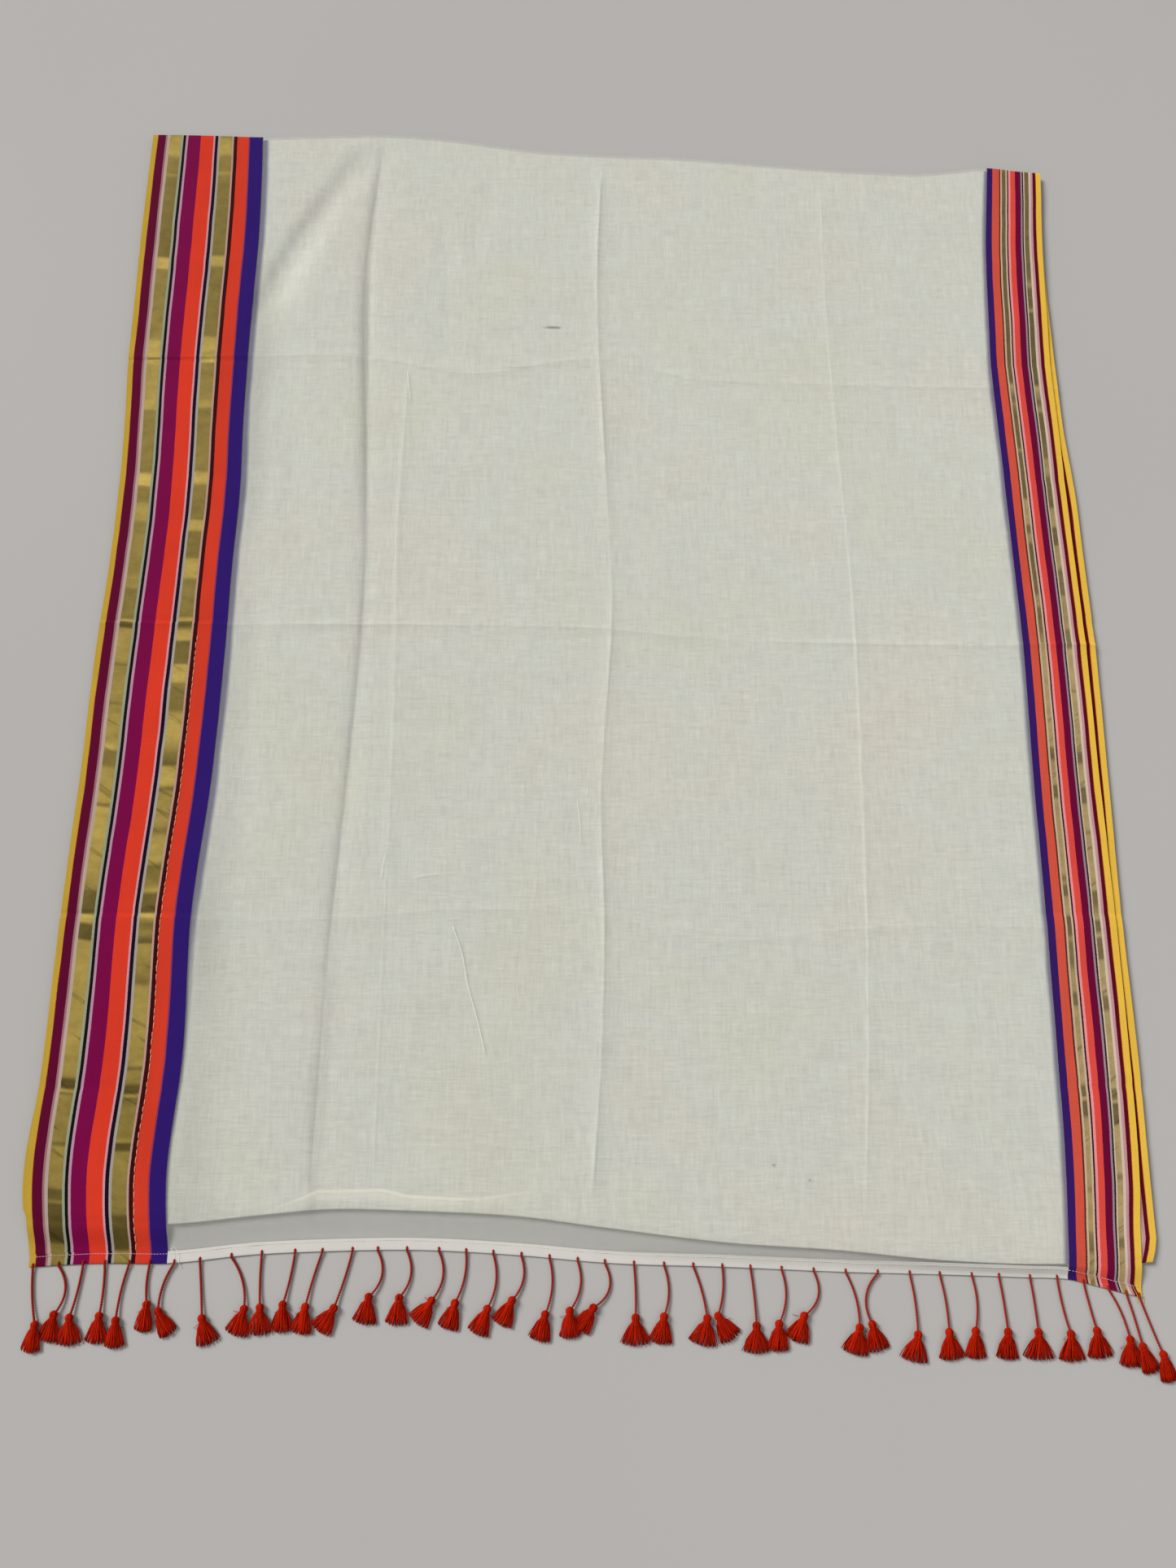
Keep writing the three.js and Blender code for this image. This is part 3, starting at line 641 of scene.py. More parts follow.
# Side edges of the top stretch, its two border seams, and the edges of the layers below it
stations = tableOf("y left wideSeam narrowSeam right underLeft underRight", (
    (-681, -577, -439, 486, 562, -583, 581),
    (-635, -582, -440, 489, 564, -586, 582),
    (-564, -591, -446, 494, 571, -595, 583),
    (-441, -588, -440, 498, 576, -587, 586),
    (-292, -587, -444, 501, 578, -585, 586),
    (-125, -583, -434, 503, 579, -581, 590),
    (43, -581, -431, 507, 581, -579, 593),
    (137, -577, -431, 506, 580, -575, 592),
    (234, -576, -429, 505, 579, -574, 591),
    (323, -578, -432, 504, 579, -576, 586),
    (404, -582, -433, 503, 578, -580, 585),
    (499, -583, -433, 507, 582, -581, 585),
    (585, -584, -432, 512, 586, -582, 587),
    (673, -584, -434, 521, 593, -582, 592),
    (757, -583, -438, 530, 598, -581, 596),
))

# The far fold, the near fold of the layers below, and the outer edge of the hem
ends = tableOf("x far fold hem", (
    (-592, 757, -605, -650),
    (-512, 756, -607, -646),
    (-438, 754, -608, -646),
    (-352, 757, -600, -638),
    (-279, 759, -594, -635),
    (-181, 751, -596, -634),
    (-83, 736, -601, -639),
    (14, 729, -613, -647),
    (133, 724, -627, -651),
    (251, 713, -635, -656),
    (359, 705, -645, -659),
    (446, 703, -649, -662),
    (489, 708, -649, -664),
    (523, 712, -649, -672),
    (564, 707, -648, -681),
    (598, 704, -646, -681),
))

# Where the three long creases lie at places up the cloth
longCreases = tableOf("y first second third", (
    (-593, -297, -4, 282),
    (-443, -294, 7, 294),
    (-293, -290, 11, 302),
    (-173, -283, 8, 305),
    (107, -273, 22, 309),
    (247, -277, 16, 304),
    (547, -291, 6, 299),
    (737, -278, 14, 302),
))

# A fine pressed line beside the first long crease: its place sets grid lines, and along its reach the voile
# is painted lighter as a painted highlight
fineLine = tableOf("y x reach amount", (
    (-300, -231, 1.6, 0.0),
    (-238, -231, 1.6, -0.03),
    (-125, -231, 1.6, -0.05),
    (44, -233, 1.7, -0.07),
    (181, -237, 1.7, -0.06),
    (300, -235, 1.6, -0.05),
    (382, -232, 1.6, -0.04),
    (430, -230, 1.6, 0.0),
))

# Where the three cross creases lie at points across the cloth
crossCreases = tableOf("x near middle high", (
    (-584, -283, 59, 415),
    (-432, -292, 57, 420),
    (-290, -291, 58, 420),
    (-152, -281, 57, 397),
    (8, -288, 53, 418),
    (123, -314, 42, 392),
    (298, -301, 35, 383),
    (578, -301, 34, 379),
))

cloth = {
    "wall": 1.0,  # of the solids: the shells lie at its outer face
    "thickness": 0.5,
    "topLayer": 6.6,
    "foldRadius": 1.6,
    "layerPitch": 2.2,
    "hemWidth": 12,
    "hemThickness": 1.7,
    "dropInside": 10,
    "lipDrop": 0.8,
    "longestDrop": 27,
    "creaseFade": 60,
    "plainEndInset": 20,
    "farFoldSetback": 3,
    "farClearance": 2,
}

# Each long or cross crease is pressed in or out, and fades out faster or slower on its two sides: before is
# the side nearer the wide border or the hem. A broad soft form may lie round it. All in mm.
creases = {
    "first": {"press": -2.0, "before": 5.5, "after": 12.0, "broad": -0.3},
    "second": {"press": 1.2, "before": 2.4, "after": 2.6, "broad": 0.5},
    "third": {"press": 0.5, "before": 1.3, "after": 2.2, "broad": 0.2},
    "near": {"press": 0.35, "before": 2.6, "after": 2.6, "broad": 0.25},
    "middle": {"press": 0.85, "before": 3.0, "after": 2.6, "broad": 0.3},
    "high": {"press": 0.65, "before": 2.4, "after": 2.4, "broad": 0.25},
}
creaseSpread = 12
creaseRound = 0.7
patchiness = {"least": 0.8, "change": 0.35, "reach": 170}  # how unevenly a crease is pressed along its length

# Softer creases, placed one by one: height, half widths to the right and left, and the points of the path, in
# mm
softCreases = (
    (0.4, (2.4, 2.4), ((-232, 382), (-237, 181), (-233, 44), (-231, -125), (-231, -238))),
    (-2.8, (8, 26), ((-300, 735), (-342, 665), (-385, 590), (-424, 500))),
    (0.4, (6, 6), ((-220, 336), (-168, 258), (-127, 214))),
    (-0.8, (14, 12), ((-136, 676), (-152, 575))),
    (-0.8, (12, 12), ((-188, 612), (-185, 429))),
    (0.4, (4, 4), ((-203, -245), (-127, -236))),
    (-0.9, (12, 7), ((-388, 452), (-376, 368), (-361, 244), (-350, 169))),
    (-0.4, (3, 3), ((-424, 462), (-373, 464), (-326, 463))),
    (-0.8, (9, 12), ((-398, 130), (-402, -60), (-396, -240))),
    (0.6, (1.6, 6), plainEndHem[1:]),
)

# Painted shade, and below zero painted highlight, that the voile's colour takes along its fold lines and
# beside the wide border: points of each line with the reach to the right and to the left of someone walking
# along it, in mm, and the share of light lost
paintedFoldShades = (
    (
        (-295, -600, 8, 6, 0.12), (-291, -440, 8, 6, 0.12), (-289, -330, 10, 6, 0.1),
        (-288, -240, 4, 3, 0.11), (-281, -100, 3.5, 4, 0.13), (-274, 40, 3.5, 4, 0.13),
        (-273, 150, 3, 5, 0.14), (-278, 270, 2.5, 9, 0.2), (-283, 370, 2.5, 8, 0.25),
        (-288, 490, 3.5, 9, 0.31), (-290, 560, 3.5, 7, 0.2), (-286, 640, 3.5, 6, 0.14),
        (-279, 735, 3.5, 6, 0.08),
    ),
    (
        (-428, -600, 30, 14, 0.12), (-428, -450, 30, 12, 0.08), (-432, -300, 24, 12, 0.17),
        (-422, -150, 18, 12, 0.06), (-419, 0, 20, 12, 0.07), (-419, 150, 12, 10, 0.05),
        (-417, 280, 14, 12, 0.16),
        (-421, 400, 16, 12, 0.18), (-421, 500, 14, 10, 0.07), (-420, 600, 10, 10, 0.0),
    ),
    (
        (-310, 741, 8, 8, 0.03), (-330, 705, 8, 8, 0.05), (-350, 668, 8, 8, 0.1), (-374, 626, 7, 7, 0.15),
        (-394, 586, 6, 6, 0.17), (-412, 544, 5, 6, 0.16), (-422, 505, 4, 6, 0.08),
    ),
    (
        (-318, 690, 5, 20, -0.02), (-360, 600, 6, 22, -0.08), (-384, 545, 6, 22, -0.14),
        (-396, 500, 6, 20, -0.06),
    ),
    (
        (-281, 400, 3, 4, -0.01), (-279, 450, 3, 5, -0.06), (-280, 490, 3, 8, -0.1), (-281, 560, 3, 8, -0.04),
    ),
    (
        (283, -600, 1.6, 1.6, -0.05), (302, -300, 1.6, 1.6, -0.08), (306, -170, 1.6, 1.6, -0.08),
        (309, 100, 1.6, 1.6, -0.07), (304, 260, 1.6, 1.6, -0.06), (299, 480, 1.6, 1.6, -0.02),
        (301, 730, 1.6, 1.6, -0.02),
    ),
)

# Pressed lines that cross only the borders: place along, depth and half width in mm
borderCreases = (
    (-524, -0.35, 3.0),
    (-471, -0.85, 3.4),
    (-285, -0.80, 3.4),
    (62, -0.80, 3.4),
    (252, -0.55, 4.0),
    (347, -0.40, 3.6),
    (413, -0.85, 3.2),
    (560, 0.40, 6.0),
)


def smoothStep(value, low, high):
    t = np.clip((value - low) / (high - low), 0, 1)
    return t * t * (3 - 2 * t)


def smoothCurve(places, values):
    # a smooth line through a table's column, level beyond its ends
    slopes = np.gradient(values, places)

    def at(where):
        where = np.clip(where, places[0], places[-1])
        i = np.clip(np.searchsorted(places, where) - 1, 0, len(places) - 2)
        step = places[i + 1] - places[i]
        t = (where - places[i]) / step
        start = (2 * t**3 - 3 * t**2 + 1) * values[i] + (t**3 - 2 * t**2 + t) * step * slopes[i]
        return start + (3 * t**2 - 2 * t**3) * values[i + 1] + (t**3 - t**2) * step * slopes[i + 1]

    return at


def curvesOf(table, key):
    return {name: smoothCurve(table[key], table[name]) for name in table if name != key}


edgeAt = curvesOf(stations, "y")
endAt = curvesOf(ends, "x")
longCreaseAt = curvesOf(longCreases, "y")
crossCreaseAt = curvesOf(crossCreases, "x")
fineLineAt = curvesOf(fineLine, "y")


waves = {"count": 7, "highest": 3.4}  # how many waves are added up, and how high they rise together


def unevenness(x, y, spread, seed):
    # gentle rise and fall between about -1 and 1, from a few seeded waves of about this spread in mm
    random = np.random.default_rng(seed)
    total = 0
    for _ in range(waves["count"]):
        turn, phase = random.uniform(0, 2 * math.pi, 2)
        reach = spread * random.uniform(0.7, 1.8)
        total = total + np.sin((x * math.cos(turn) + y * math.sin(turn)) * 2 * math.pi / reach + phase)
    return total / waves["highest"]


def distanceToPath(x, y, path):
    # distance in mm, below zero to the right of someone walking along the path, and the point reached
    nearest = np.full(np.shape(x), 1e6)
    reached = np.zeros(np.shape(x))
    for k, ((x0, y0), (x1, y1)) in enumerate(zip(path, path[1:])):
        dx, dy = x1 - x0, y1 - y0
        t = np.clip(((x - x0) * dx + (y - y0) * dy) / (dx * dx + dy * dy), 0, 1)
        away = np.hypot(x - x0 - t * dx, y - y0 - t * dy) * np.sign(dx * (y - y0) - dy * (x - x0))
        closer = np.abs(away) < np.abs(nearest)
        nearest = np.where(closer, away, nearest)
        reached = np.where(closer, k + t, reached)
    return nearest, reached


def softLine(distance, right, left):
    # 1 on a line, dying away smoothly on each side
    return np.exp(-((distance / np.where(distance < 0, right, left)) ** 2))


def paintedFoldShade(x, y):
    # painted shade along the fold lines, and painted highlight where it falls below zero, the fine line
    # included
    reach = fineLineAt["reach"](y)
    total = fineLineAt["amount"](y) * softLine(x - fineLineAt["x"](y), reach, reach)
    for rows in paintedFoldShades:
        table = np.array(rows, float)
        distance, reached = distanceToPath(x, y, table[:, :2])
        right, left, amount = (np.interp(reached, np.arange(len(table)), table[:, k]) for k in (2, 3, 4))
        total += amount * softLine(distance, right, left)
    return total


def foldShape(distance, before, after):
    # a sharp fold line, rounded off at its very top, that dies away on each side
    rounded = np.sqrt(distance**2 + creaseRound**2) - creaseRound
    return np.exp(-rounded / np.where(distance < 0, before, after))


def creaseRelief(x, y):
    height = 0
    for name, crease in creases.items():
        if name in longCreaseAt:
            distance = x - longCreaseAt[name](y)
            along = y
        else:
            distance = y - crossCreaseAt[name](x)
            along = x
        uneven = unevenness(along, 0 * along, patchiness["reach"], len(name) + 5)
        patchy = patchiness["least"] + patchiness["change"] * uneven
        height = height + crease["broad"] * softLine(distance, creaseSpread, creaseSpread)
        height = height + patchy * crease["press"] * foldShape(distance, crease["before"], crease["after"])
    for rise, widths, path in softCreases:
        height = height + rise * softLine(distanceToPath(x, y, path)[0], *widths)
    onBorder = smoothStep(edgeAt["wideSeam"](y) - x, -12, 6) + smoothStep(x - edgeAt["narrowSeam"](y), -12, 6)
    for place, depth, width in borderCreases:
        height = height + depth * onBorder * softLine(y - place, width, width)
    fromFar = endAt["far"](x) - cloth["foldRadius"] - y
    fromNear = y - endAt["fold"](x) - cloth["dropInside"]
    settle = smoothStep(fromFar, 0, cloth["creaseFade"]) * smoothStep(fromNear, 0, cloth["creaseFade"])
    return height * settle


def topHeight(x, y):
    # underside of the top stretch's solid: flat on the stack, then down to the floor past the lower fold
    fold = endAt["fold"](x)
    inside = y - fold
    lip = cloth["topLayer"] - cloth["lipDrop"]
    drop = np.minimum(cloth["longestDrop"], fold - endAt["hem"](x) - 1)
    onStack = lip + (cloth["topLayer"] - lip) * smoothStep(inside, 0, cloth["dropInside"])
    falling = lip * smoothStep(inside + drop, 0, drop)
    return np.where(inside >= 0, onStack, falling) + np.where(inside >= 0, creaseRelief(x, y), 0)


swell = {
    "slow": 0.45,
    "quick": 0.16,
    "borderSlow": 0.3,
    "borderQuick": 0.16,
    "limits": (-1.0, 1.6),
}


def looseness(x, y):
    # voile never lies quite flat: slow swells all over, short ripples across the borders
    onStack = smoothStep(y - endAt["fold"](x), -5, 60) * smoothStep(endAt["far"](x) - y, 0, 50)
    swells = swell["slow"] * unevenness(x, y, 190, 11) + swell["quick"] * unevenness(x, y, 60, 12)
    fromLeft = x - edgeAt["wideSeam"](y)
    fromRight = edgeAt["narrowSeam"](y) - x
    onBorder = smoothStep(-fromLeft, -20, 15) + smoothStep(-fromRight, -20, 15)
    slow = swell["borderSlow"] * unevenness(0.25 * x, y, 62, 13)
    quick = swell["borderQuick"] * unevenness(0.4 * x, y, 27, 14)
    ripples = (slow + quick) * onBorder * (0.5 + 0.5 * onStack)
    return (swells * onStack + ripples).clip(*swell["limits"])


print("cloth lines ready")

# Sheets on grids of lines

crossingRounds = 5  # times over that the crossings of curved lines are worked out, nearer each time
sharpAngle = 50  # degrees between faces where a sheet's edge stays crisp


def spreadSteps(counts):
    # for each grid line, the anchor line before it and how far it is to the next
    before, share = [], []
    for k, count in enumerate(counts):
        before += [k] * count
        share += list(np.arange(count) / count)
    return np.array(before + [len(counts) - 1]), np.array(share + [1.0])


def between(anchors, at, before, share, axis):
    # each grid line's place, straight between its two anchor lines, which are functions of `at`
    values = np.stack([np.broadcast_to(anchor(at), at.shape) for anchor in anchors])
    rows, columns = np.indices(at.shape)
    pick = before[columns] if axis == 1 else before[rows]
    part = share[columns] if axis == 1 else share[rows]
    low = np.take_along_axis(values, pick[None], 0)[0]
    high = np.take_along_axis(values, pick[None] + 1, 0)[0]
    return low + (high - low) * part


def crossings(columnAnchors, columnCounts, rowAnchors, rowCounts):
    # where every row crosses every column
    columnBefore, columnShare = spreadSteps(columnCounts)
    rowBefore, rowShare = spreadSteps(rowCounts)
    y = np.zeros((len(rowBefore), len(columnBefore)))
    x = np.zeros_like(y)
    for _ in range(crossingRounds):
        x = between(columnAnchors, y, columnBefore, columnShare, 1)
        y = between(rowAnchors, x, rowBefore, rowShare, 0)
    return x, y


def smoothObject(name, mesh):
    mesh.polygons.foreach_set("use_smooth", [True] * len(mesh.polygons))
    mesh.update()
    return addObject(name, mesh)


def gridObject(name, points, flat, materials, thickness, offset, bands=None):
    # a bmesh grid whose points are put at points[row, column] in mm, given a wall and a UV map in metres
    rows, columns = points.shape[:2]
    bm = bmesh.new()
    bmesh.ops.create_grid(bm, x_segments=columns - 1, y_segments=rows - 1, size=0.5)
    mesh = bpy.data.meshes.new(name)
    bm.to_mesh(mesh)
    bm.free()
    made = np.zeros(len(mesh.vertices) * 3)
    mesh.vertices.foreach_get("co", made)
    made = made.reshape(-1, 3)
    column = np.rint((made[:, 0] + 0.5) * (columns - 1)).astype(int)
    row = np.rint((made[:, 1] + 0.5) * (rows - 1)).astype(int)
    mesh.vertices.foreach_set("co", (points[row, column] * mm).ravel())
    corner = np.zeros(len(mesh.loops), int)
    mesh.loops.foreach_get("vertex_index", corner)
    # the painted shade and painted highlight of the fold lines, which the voile's colour is multiplied by
    shade = mesh.attributes.new("shade", "FLOAT", "POINT")
    shade.data.foreach_set("value", paintedFoldShade(*points[row, column, :2].T).astype(np.float32))
    for finish in materials:
        mesh.materials.append(finishes[finish])
    if bands is None:
        places = flat[row[corner], column[corner]]
    else:  # one map for each band of columns
        leftmost = column[corner.reshape(-1, 4)].min(1)
        band = np.searchsorted(bands, leftmost, side="right")
        mesh.polygons.foreach_set("material_index", band)
        places = flat[np.repeat(band, 4), row[corner], column[corner]]
    layer = mesh.uv_layers.new(name="UVMap")
    layer.uv.foreach_set("vector", (places * mm).ravel())
    item = smoothObject(name, mesh)
    wall = item.modifiers.new("wall", "SOLIDIFY")
    wall.thickness = thickness * mm
    wall.offset = offset
    wall.use_rim = True
    return applied(item)


def applied(item):
    # the piece with its modifiers made real and its rims kept crisp
    evaluated = item.evaluated_get(bpy.context.evaluated_depsgraph_get())
    mesh = bpy.data.meshes.new_from_object(evaluated)
    mesh.name = item.name
    item.modifiers.clear()
    item.data = mesh
    mesh.set_sharp_from_angle(angle=math.radians(sharpAngle))
    return item


def finishPiece(item, slot, *nodes):
    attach(item, "root")
    if nodes:
        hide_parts(*nodes)
    return item


# The top stretch

topGrid = {
    "hemTuck": 11.4,  # the sheet starts this far inside the hem's outer edge, tucked into the hem
    "turnSteps": 9,
    "wideColumns": 48,
    "narrowColumns": 26,
}


def beside(line, aside):
    return lambda at: line(at) + aside


def hemLine(x):
    return endAt["hem"](x) + topGrid["hemTuck"]


def foldLine(x):
    return np.maximum(endAt["fold"](x), hemLine(x) + 1.5)


def shoulderLine(x):
    return np.maximum(endAt["fold"](x), hemLine(x)) + cloth["dropInside"]


def farLine(x):
    return endAt["far"](x) - cloth["foldRadius"]


# Grid lines on and beside every crease, in mm, and fewer at the fine line
creaseLines = (-18, -3.2, 0, 3.2, 18)
fineLines = (-3, 0, 3)
lengthwise = {**longCreaseAt, "fine": fineLineAt["x"]}


def throughLines(curves, steps, close, asides=creaseLines):
    # anchor lines along the named curves, with the steps up to each curve and then from line to line
    anchors, counts = [], []
    for name, before in steps.items():
        fine = name == "fine"
        anchors += [beside(curves[name], aside) for aside in (fineLines if fine else asides)]
        counts += [before, *((2, 2) if fine else close)]
    return anchors, counts


def rowsOfTop():
    anchors, counts = throughLines(crossCreaseAt, {"near": 42, "middle": 43, "high": 45}, (5, 4, 4, 5))
    return [hemLine, foldLine, shoulderLine, *anchors, farLine], [10, 6, *counts, 45]


def columnsOfField():
    steps = {"first": 18, "fine": 6, "second": 36, "third": 37}
    anchors, counts = throughLines(lengthwise, steps, (5, 4, 4, 5))
    return [edgeAt["wideSeam"], *anchors, edgeAt["narrowSeam"]], [*counts, 26]


# The stretches that show side by side: columns, flat width in mm, and whether it is measured from the right
stretches = (
    (columnsOfField(), 940, False),
    (([edgeAt["left"], edgeAt["wideSeam"]], [topGrid["wideColumns"]]), widthOf(wideStripes), False),
    (([edgeAt["narrowSeam"], edgeAt["right"]], [topGrid["narrowColumns"]]), widthOf(narrowStripes), True),
)


def topSurface(columnAnchors, columnCounts):
    # outer face of one piece of the top stretch, with its half turn over the far fold
    rowAnchors, rowCounts = rowsOfTop()
    x, y = crossings(columnAnchors, columnCounts, rowAnchors, rowCounts)
    z = topHeight(x, y) + looseness(x, y) + cloth["wall"]
    turn = np.arange(1, topGrid["turnSteps"] + 1)[:, None] * math.pi / topGrid["turnSteps"]
    radius, axis = cloth["foldRadius"], cloth["topLayer"] + cloth["wall"] - cloth["foldRadius"]
    lastX, lastY, lastZ = x[-1:], y[-1:], z[-1:]
    lift = lastZ - axis - radius
    turnedY = lastY + radius * np.sin(turn)
    turnedZ = axis + radius * np.cos(turn) + lift * (1 + np.cos(turn)) / 2
    turned = (np.repeat(lastX, len(turn), 0), turnedY, turnedZ)
    return np.dstack([np.vstack(pair) for pair in zip((x, y, z), turned)])


def flatAcross(points, width, fromRight):
    # UV in mm: distance from the outer selvedge, and distance along the cloth
    columns = points.shape[1]
    across = np.linspace(0, width, columns)
    if fromRight:
        across = across[::-1]
    steps = np.hypot(*np.moveaxis(np.diff(points[:, :, 1:], axis=0), 2, 0))
    along = np.vstack([np.zeros((1, columns)), np.cumsum(steps, 0)])
    along = along + points[:1, :, 1]
    return np.dstack([np.broadcast_to(across, along.shape), along])


def makeTopStretch():
    names = (
        ("fieldSheet", "voile", "voile", "field"),
        ("wideBorderSheet", "wide", "wide_stripes", "wide_border"),
        ("narrowBorderSheet", "narrow", "narrow_stripes", "narrow_border"),
    )
    sheets = []
    for (name, finish, slot, node), (columns, width, fromRight) in zip(names, stretches):
        points = topSurface(*columns)
        flat = flatAcross(points, width, fromRight)
        sheet = gridObject(name, points, flat, [finish], cloth["thickness"], -1)
        sheets.append(finishPiece(sheet, slot, node))
    return sheets


field, wideBorder, narrowBorder = makeTopStretch()
print("top stretch made")

# The turned hem

hem = {
    "thickness": 0.5,
    "topSteps": 6,
    "turnSteps": 6,
    "underSteps": 3,
    "pucker": 0.18,
    "pull": 5.0,  # the narrow border's hem is dragged this far towards its corner
}


def hemSection():
    # inward distance and height of the hem's outer face: over the top, round the edge and back below
    radius = cloth["hemThickness"] / 2
    top = [(d, 2 * radius) for d in np.linspace(cloth["hemWidth"], radius, hem["topSteps"])]
    turn = [
        (radius - radius * math.sin(a), radius + radius * math.cos(a))
        for a in np.linspace(0, math.pi, hem["turnSteps"] + 1)[1:]
    ]
    under = [(d, 0) for d in np.linspace(radius, cloth["hemWidth"] - 1, hem["underSteps"])[1:]]
    return top + turn + under


def hemSurface(columnAnchors, columnCounts):
    before, share = spreadSteps(columnCounts)
    x = np.zeros((1, len(before)))
    y = np.full_like(x, -650.0)
    for _ in range(crossingRounds):
        x = between(columnAnchors, y, before, share, 1)
        y = endAt["hem"](x)
    rows = []
    for inside, up in hemSection()[::-1]:
        puckers = hem["pucker"] * unevenness(x, y, 17, 21) * min(1, up)
        rows.append(np.dstack([x, y + inside, topHeight(x, y + inside) + up + puckers]))
    return np.vstack(rows)


def makeHems():
    names = (
        ("hemFieldStrip", "hem", "hem", "hem_field"),
        ("hemWideStrip", "wide", "wide_stripes", "hem_wide"),
        ("hemNarrowStrip", "narrow", "narrow_stripes", "hem_narrow"),
    )
    strips = []
    for (name, finish, slot, node), (columns, width, fromRight) in zip(names, stretches):
        points = hemSurface(*columns)
        flat = flatAcross(points, width, fromRight)
        flat[:, :, 1] = points[:, :, 1]
        if fromRight:  # the stripes run off to the side where the corner is dragged down
            share = 1 - flat[:, :, 0] / width
            reach = np.clip((points[:, :, 1] - endAt["hem"](points[:, :, 0])) / cloth["hemWidth"], 0, 1)
            flat[:, :, 0] = flat[:, :, 0] + hem["pull"] * (1 - reach) * (0.3 + 0.7 * share)
        strip = gridObject(name, points, flat, [finish], hem["thickness"], -1)
        strips.append(finishPiece(strip, slot, node))
    return strips


hems = makeHems()
print("hems made")

# The layers below

inner = {
    "thickness": 0.9,
    "violetShift": 1.0,  # the lower layers' violet stands this far inside the top one's
    "trueOuter": 26,  # mm at a border's outer edge, and at its inner edge, that keep their true width
    "trueInner": 24,
    "borderColumns": 16,
    "creasedRows": 30,
    "plainRows": 40,
    "turnRows": 8,
    "narrowHaze": 3.2,  # mm by which the violet's haze is narrower beside the narrow border
    "underLeft": (-588, -606, 5),  # a corner's rounding starts and ends at these places along, and its depth
    "underRight": (-622, -647, 6),
}


def innerColumns():
    # the same lines across as the top stretch, fewer between them
    steps = {"first": 12, "fine": 4, "second": 24, "third": 24}
    anchors, counts = throughLines(lengthwise, steps, (4, 3, 3, 4))
    shift, columns = inner["violetShift"], inner["borderColumns"]
    seams = [beside(edgeAt["wideSeam"], shift), *anchors, beside(edgeAt["narrowSeam"], -shift)]
    return seams, [columns, *counts, 18, columns]


def stretchSteps(lines, counts):
    # steps from line to line: the line before, the line after and the share of the way
    steps = []
    for start, stop, count in zip(lines, lines[1:], counts):
        steps += [(start, stop, t) for t in np.linspace(0, 1, count, endpoint=False)]
    return steps + [(lines[-1], lines[-1], 0.0)]


def innerPath():
    # rows down the zigzag: start line, stop line, share, shift, height, how far each side draws in, and
    # whether the row is pressed into the creases of the top stretch
    radius, pitch = cloth["foldRadius"] - cloth["wall"] / 2, cloth["layerPitch"]
    half = cloth["wall"] / 2
    nearFold = beside(endAt["fold"], cloth["foldRadius"])
    upperFar = beside(farLine, -cloth["farClearance"])
    lowerFar = beside(farLine, -cloth["farFoldSetback"])
    plainEnd = beside(endAt["fold"], cloth["plainEndInset"])
    steps = dict.fromkeys(("high", "middle", "near"), inner["creasedRows"])
    lines, counts = throughLines(crossCreaseAt, steps, (4, 3, 3, 4), creaseLines[::-1])
    rows = []
    for start, stop, t in stretchSteps([upperFar, *lines, nearFold], [*counts, inner["creasedRows"]]):
        rows.append((start, stop, t, 0, 2 * pitch + half, 0, 0, 1))
    turn = np.linspace(0, math.pi, inner["turnRows"] + 1)[1:-1]
    for a in turn:
        draw = (1 - math.cos(a)) / 2
        rise = 1.5 * pitch + half + radius * math.cos(a)
        rows.append((nearFold, nearFold, 0, -radius * math.sin(a), rise, 2 * draw, 5 * draw, 0))
    for start, stop, t in stretchSteps([nearFold, lowerFar], [inner["plainRows"]]):
        rows.append((start, stop, t, 0, pitch + half, 2, 5, 0.45))
    for a in turn:
        rise = 0.5 * pitch + half + radius * math.cos(a)
        rows.append((lowerFar, lowerFar, 0, radius * math.sin(a), rise, 2, 4, 0))
    for start, stop, t in stretchSteps([lowerFar, plainEnd], [inner["plainRows"]]):
        rows.append((start, stop, t, 0, half, 1, 2, 0))
    return rows


def underEdge(name, inwards, drawn):
    # a side edge of the layers below, drawn in, and rounded where it meets the near fold
    line = edgeAt[name]
    low, high, rounding = inner[name]
    return lambda y: line(y) + inwards * (drawn + rounding * smoothStep(y, low, high) ** 1.5)


def innerSurface():
    seams, counts = innerColumns()
    before, share = spreadSteps(counts)
    points, flat = [], []
    along = np.zeros(len(before))
    for start, stop, t, shift, height, drawLeft, drawRight, pressed in innerPath():
        edges = [underEdge("underLeft", 1, drawLeft)] + seams + [underEdge("underRight", -1, drawRight)]
        y = np.zeros(len(before))
        for _ in range(crossingRounds):
            x = between(edges, y[None], before, share, 1)[0]
            y = start(x) + (stop(x) - start(x)) * t + shift
        follow = pressed * (creaseRelief(x, y) + 0.6 * looseness(x, y)).clip(-2.3, 2.2)
        points.append(np.column_stack([x, y, height + follow]))
        left, wideSeam, narrowSeam, right = (line(y) for line in (edges[0], seams[0], seams[-1], edges[-1]))
        maps = (
            trueAtEdges(x - left, wideSeam - left, widthOf(wideStripes)),
            np.minimum(x - wideSeam, narrowSeam - x + inner["narrowHaze"]),
            trueAtEdges(right - x, right - narrowSeam, widthOf(narrowStripes)),
        )
        if len(points) > 1:
            along = along + np.hypot(*(points[-1] - points[-2])[:, 1:].T)
        else:
            along = y + 0.0
        flat.append([np.column_stack([across, along]) for across in maps])
    return np.array(points), np.moveaxis(np.array(flat), 1, 0)


def trueAtEdges(distance, width, nominal):
    # stripes keep their width near both edges of a border; the hidden ones between take up the difference
    outer, inside = inner["trueOuter"], inner["trueInner"]
    stretched = outer + (distance - outer) / (width - outer - inside) * (nominal - outer - inside)
    fromInside = nominal - (width - distance)
    return np.where(distance < outer, distance, np.where(width - distance < inside, fromInside, stretched))


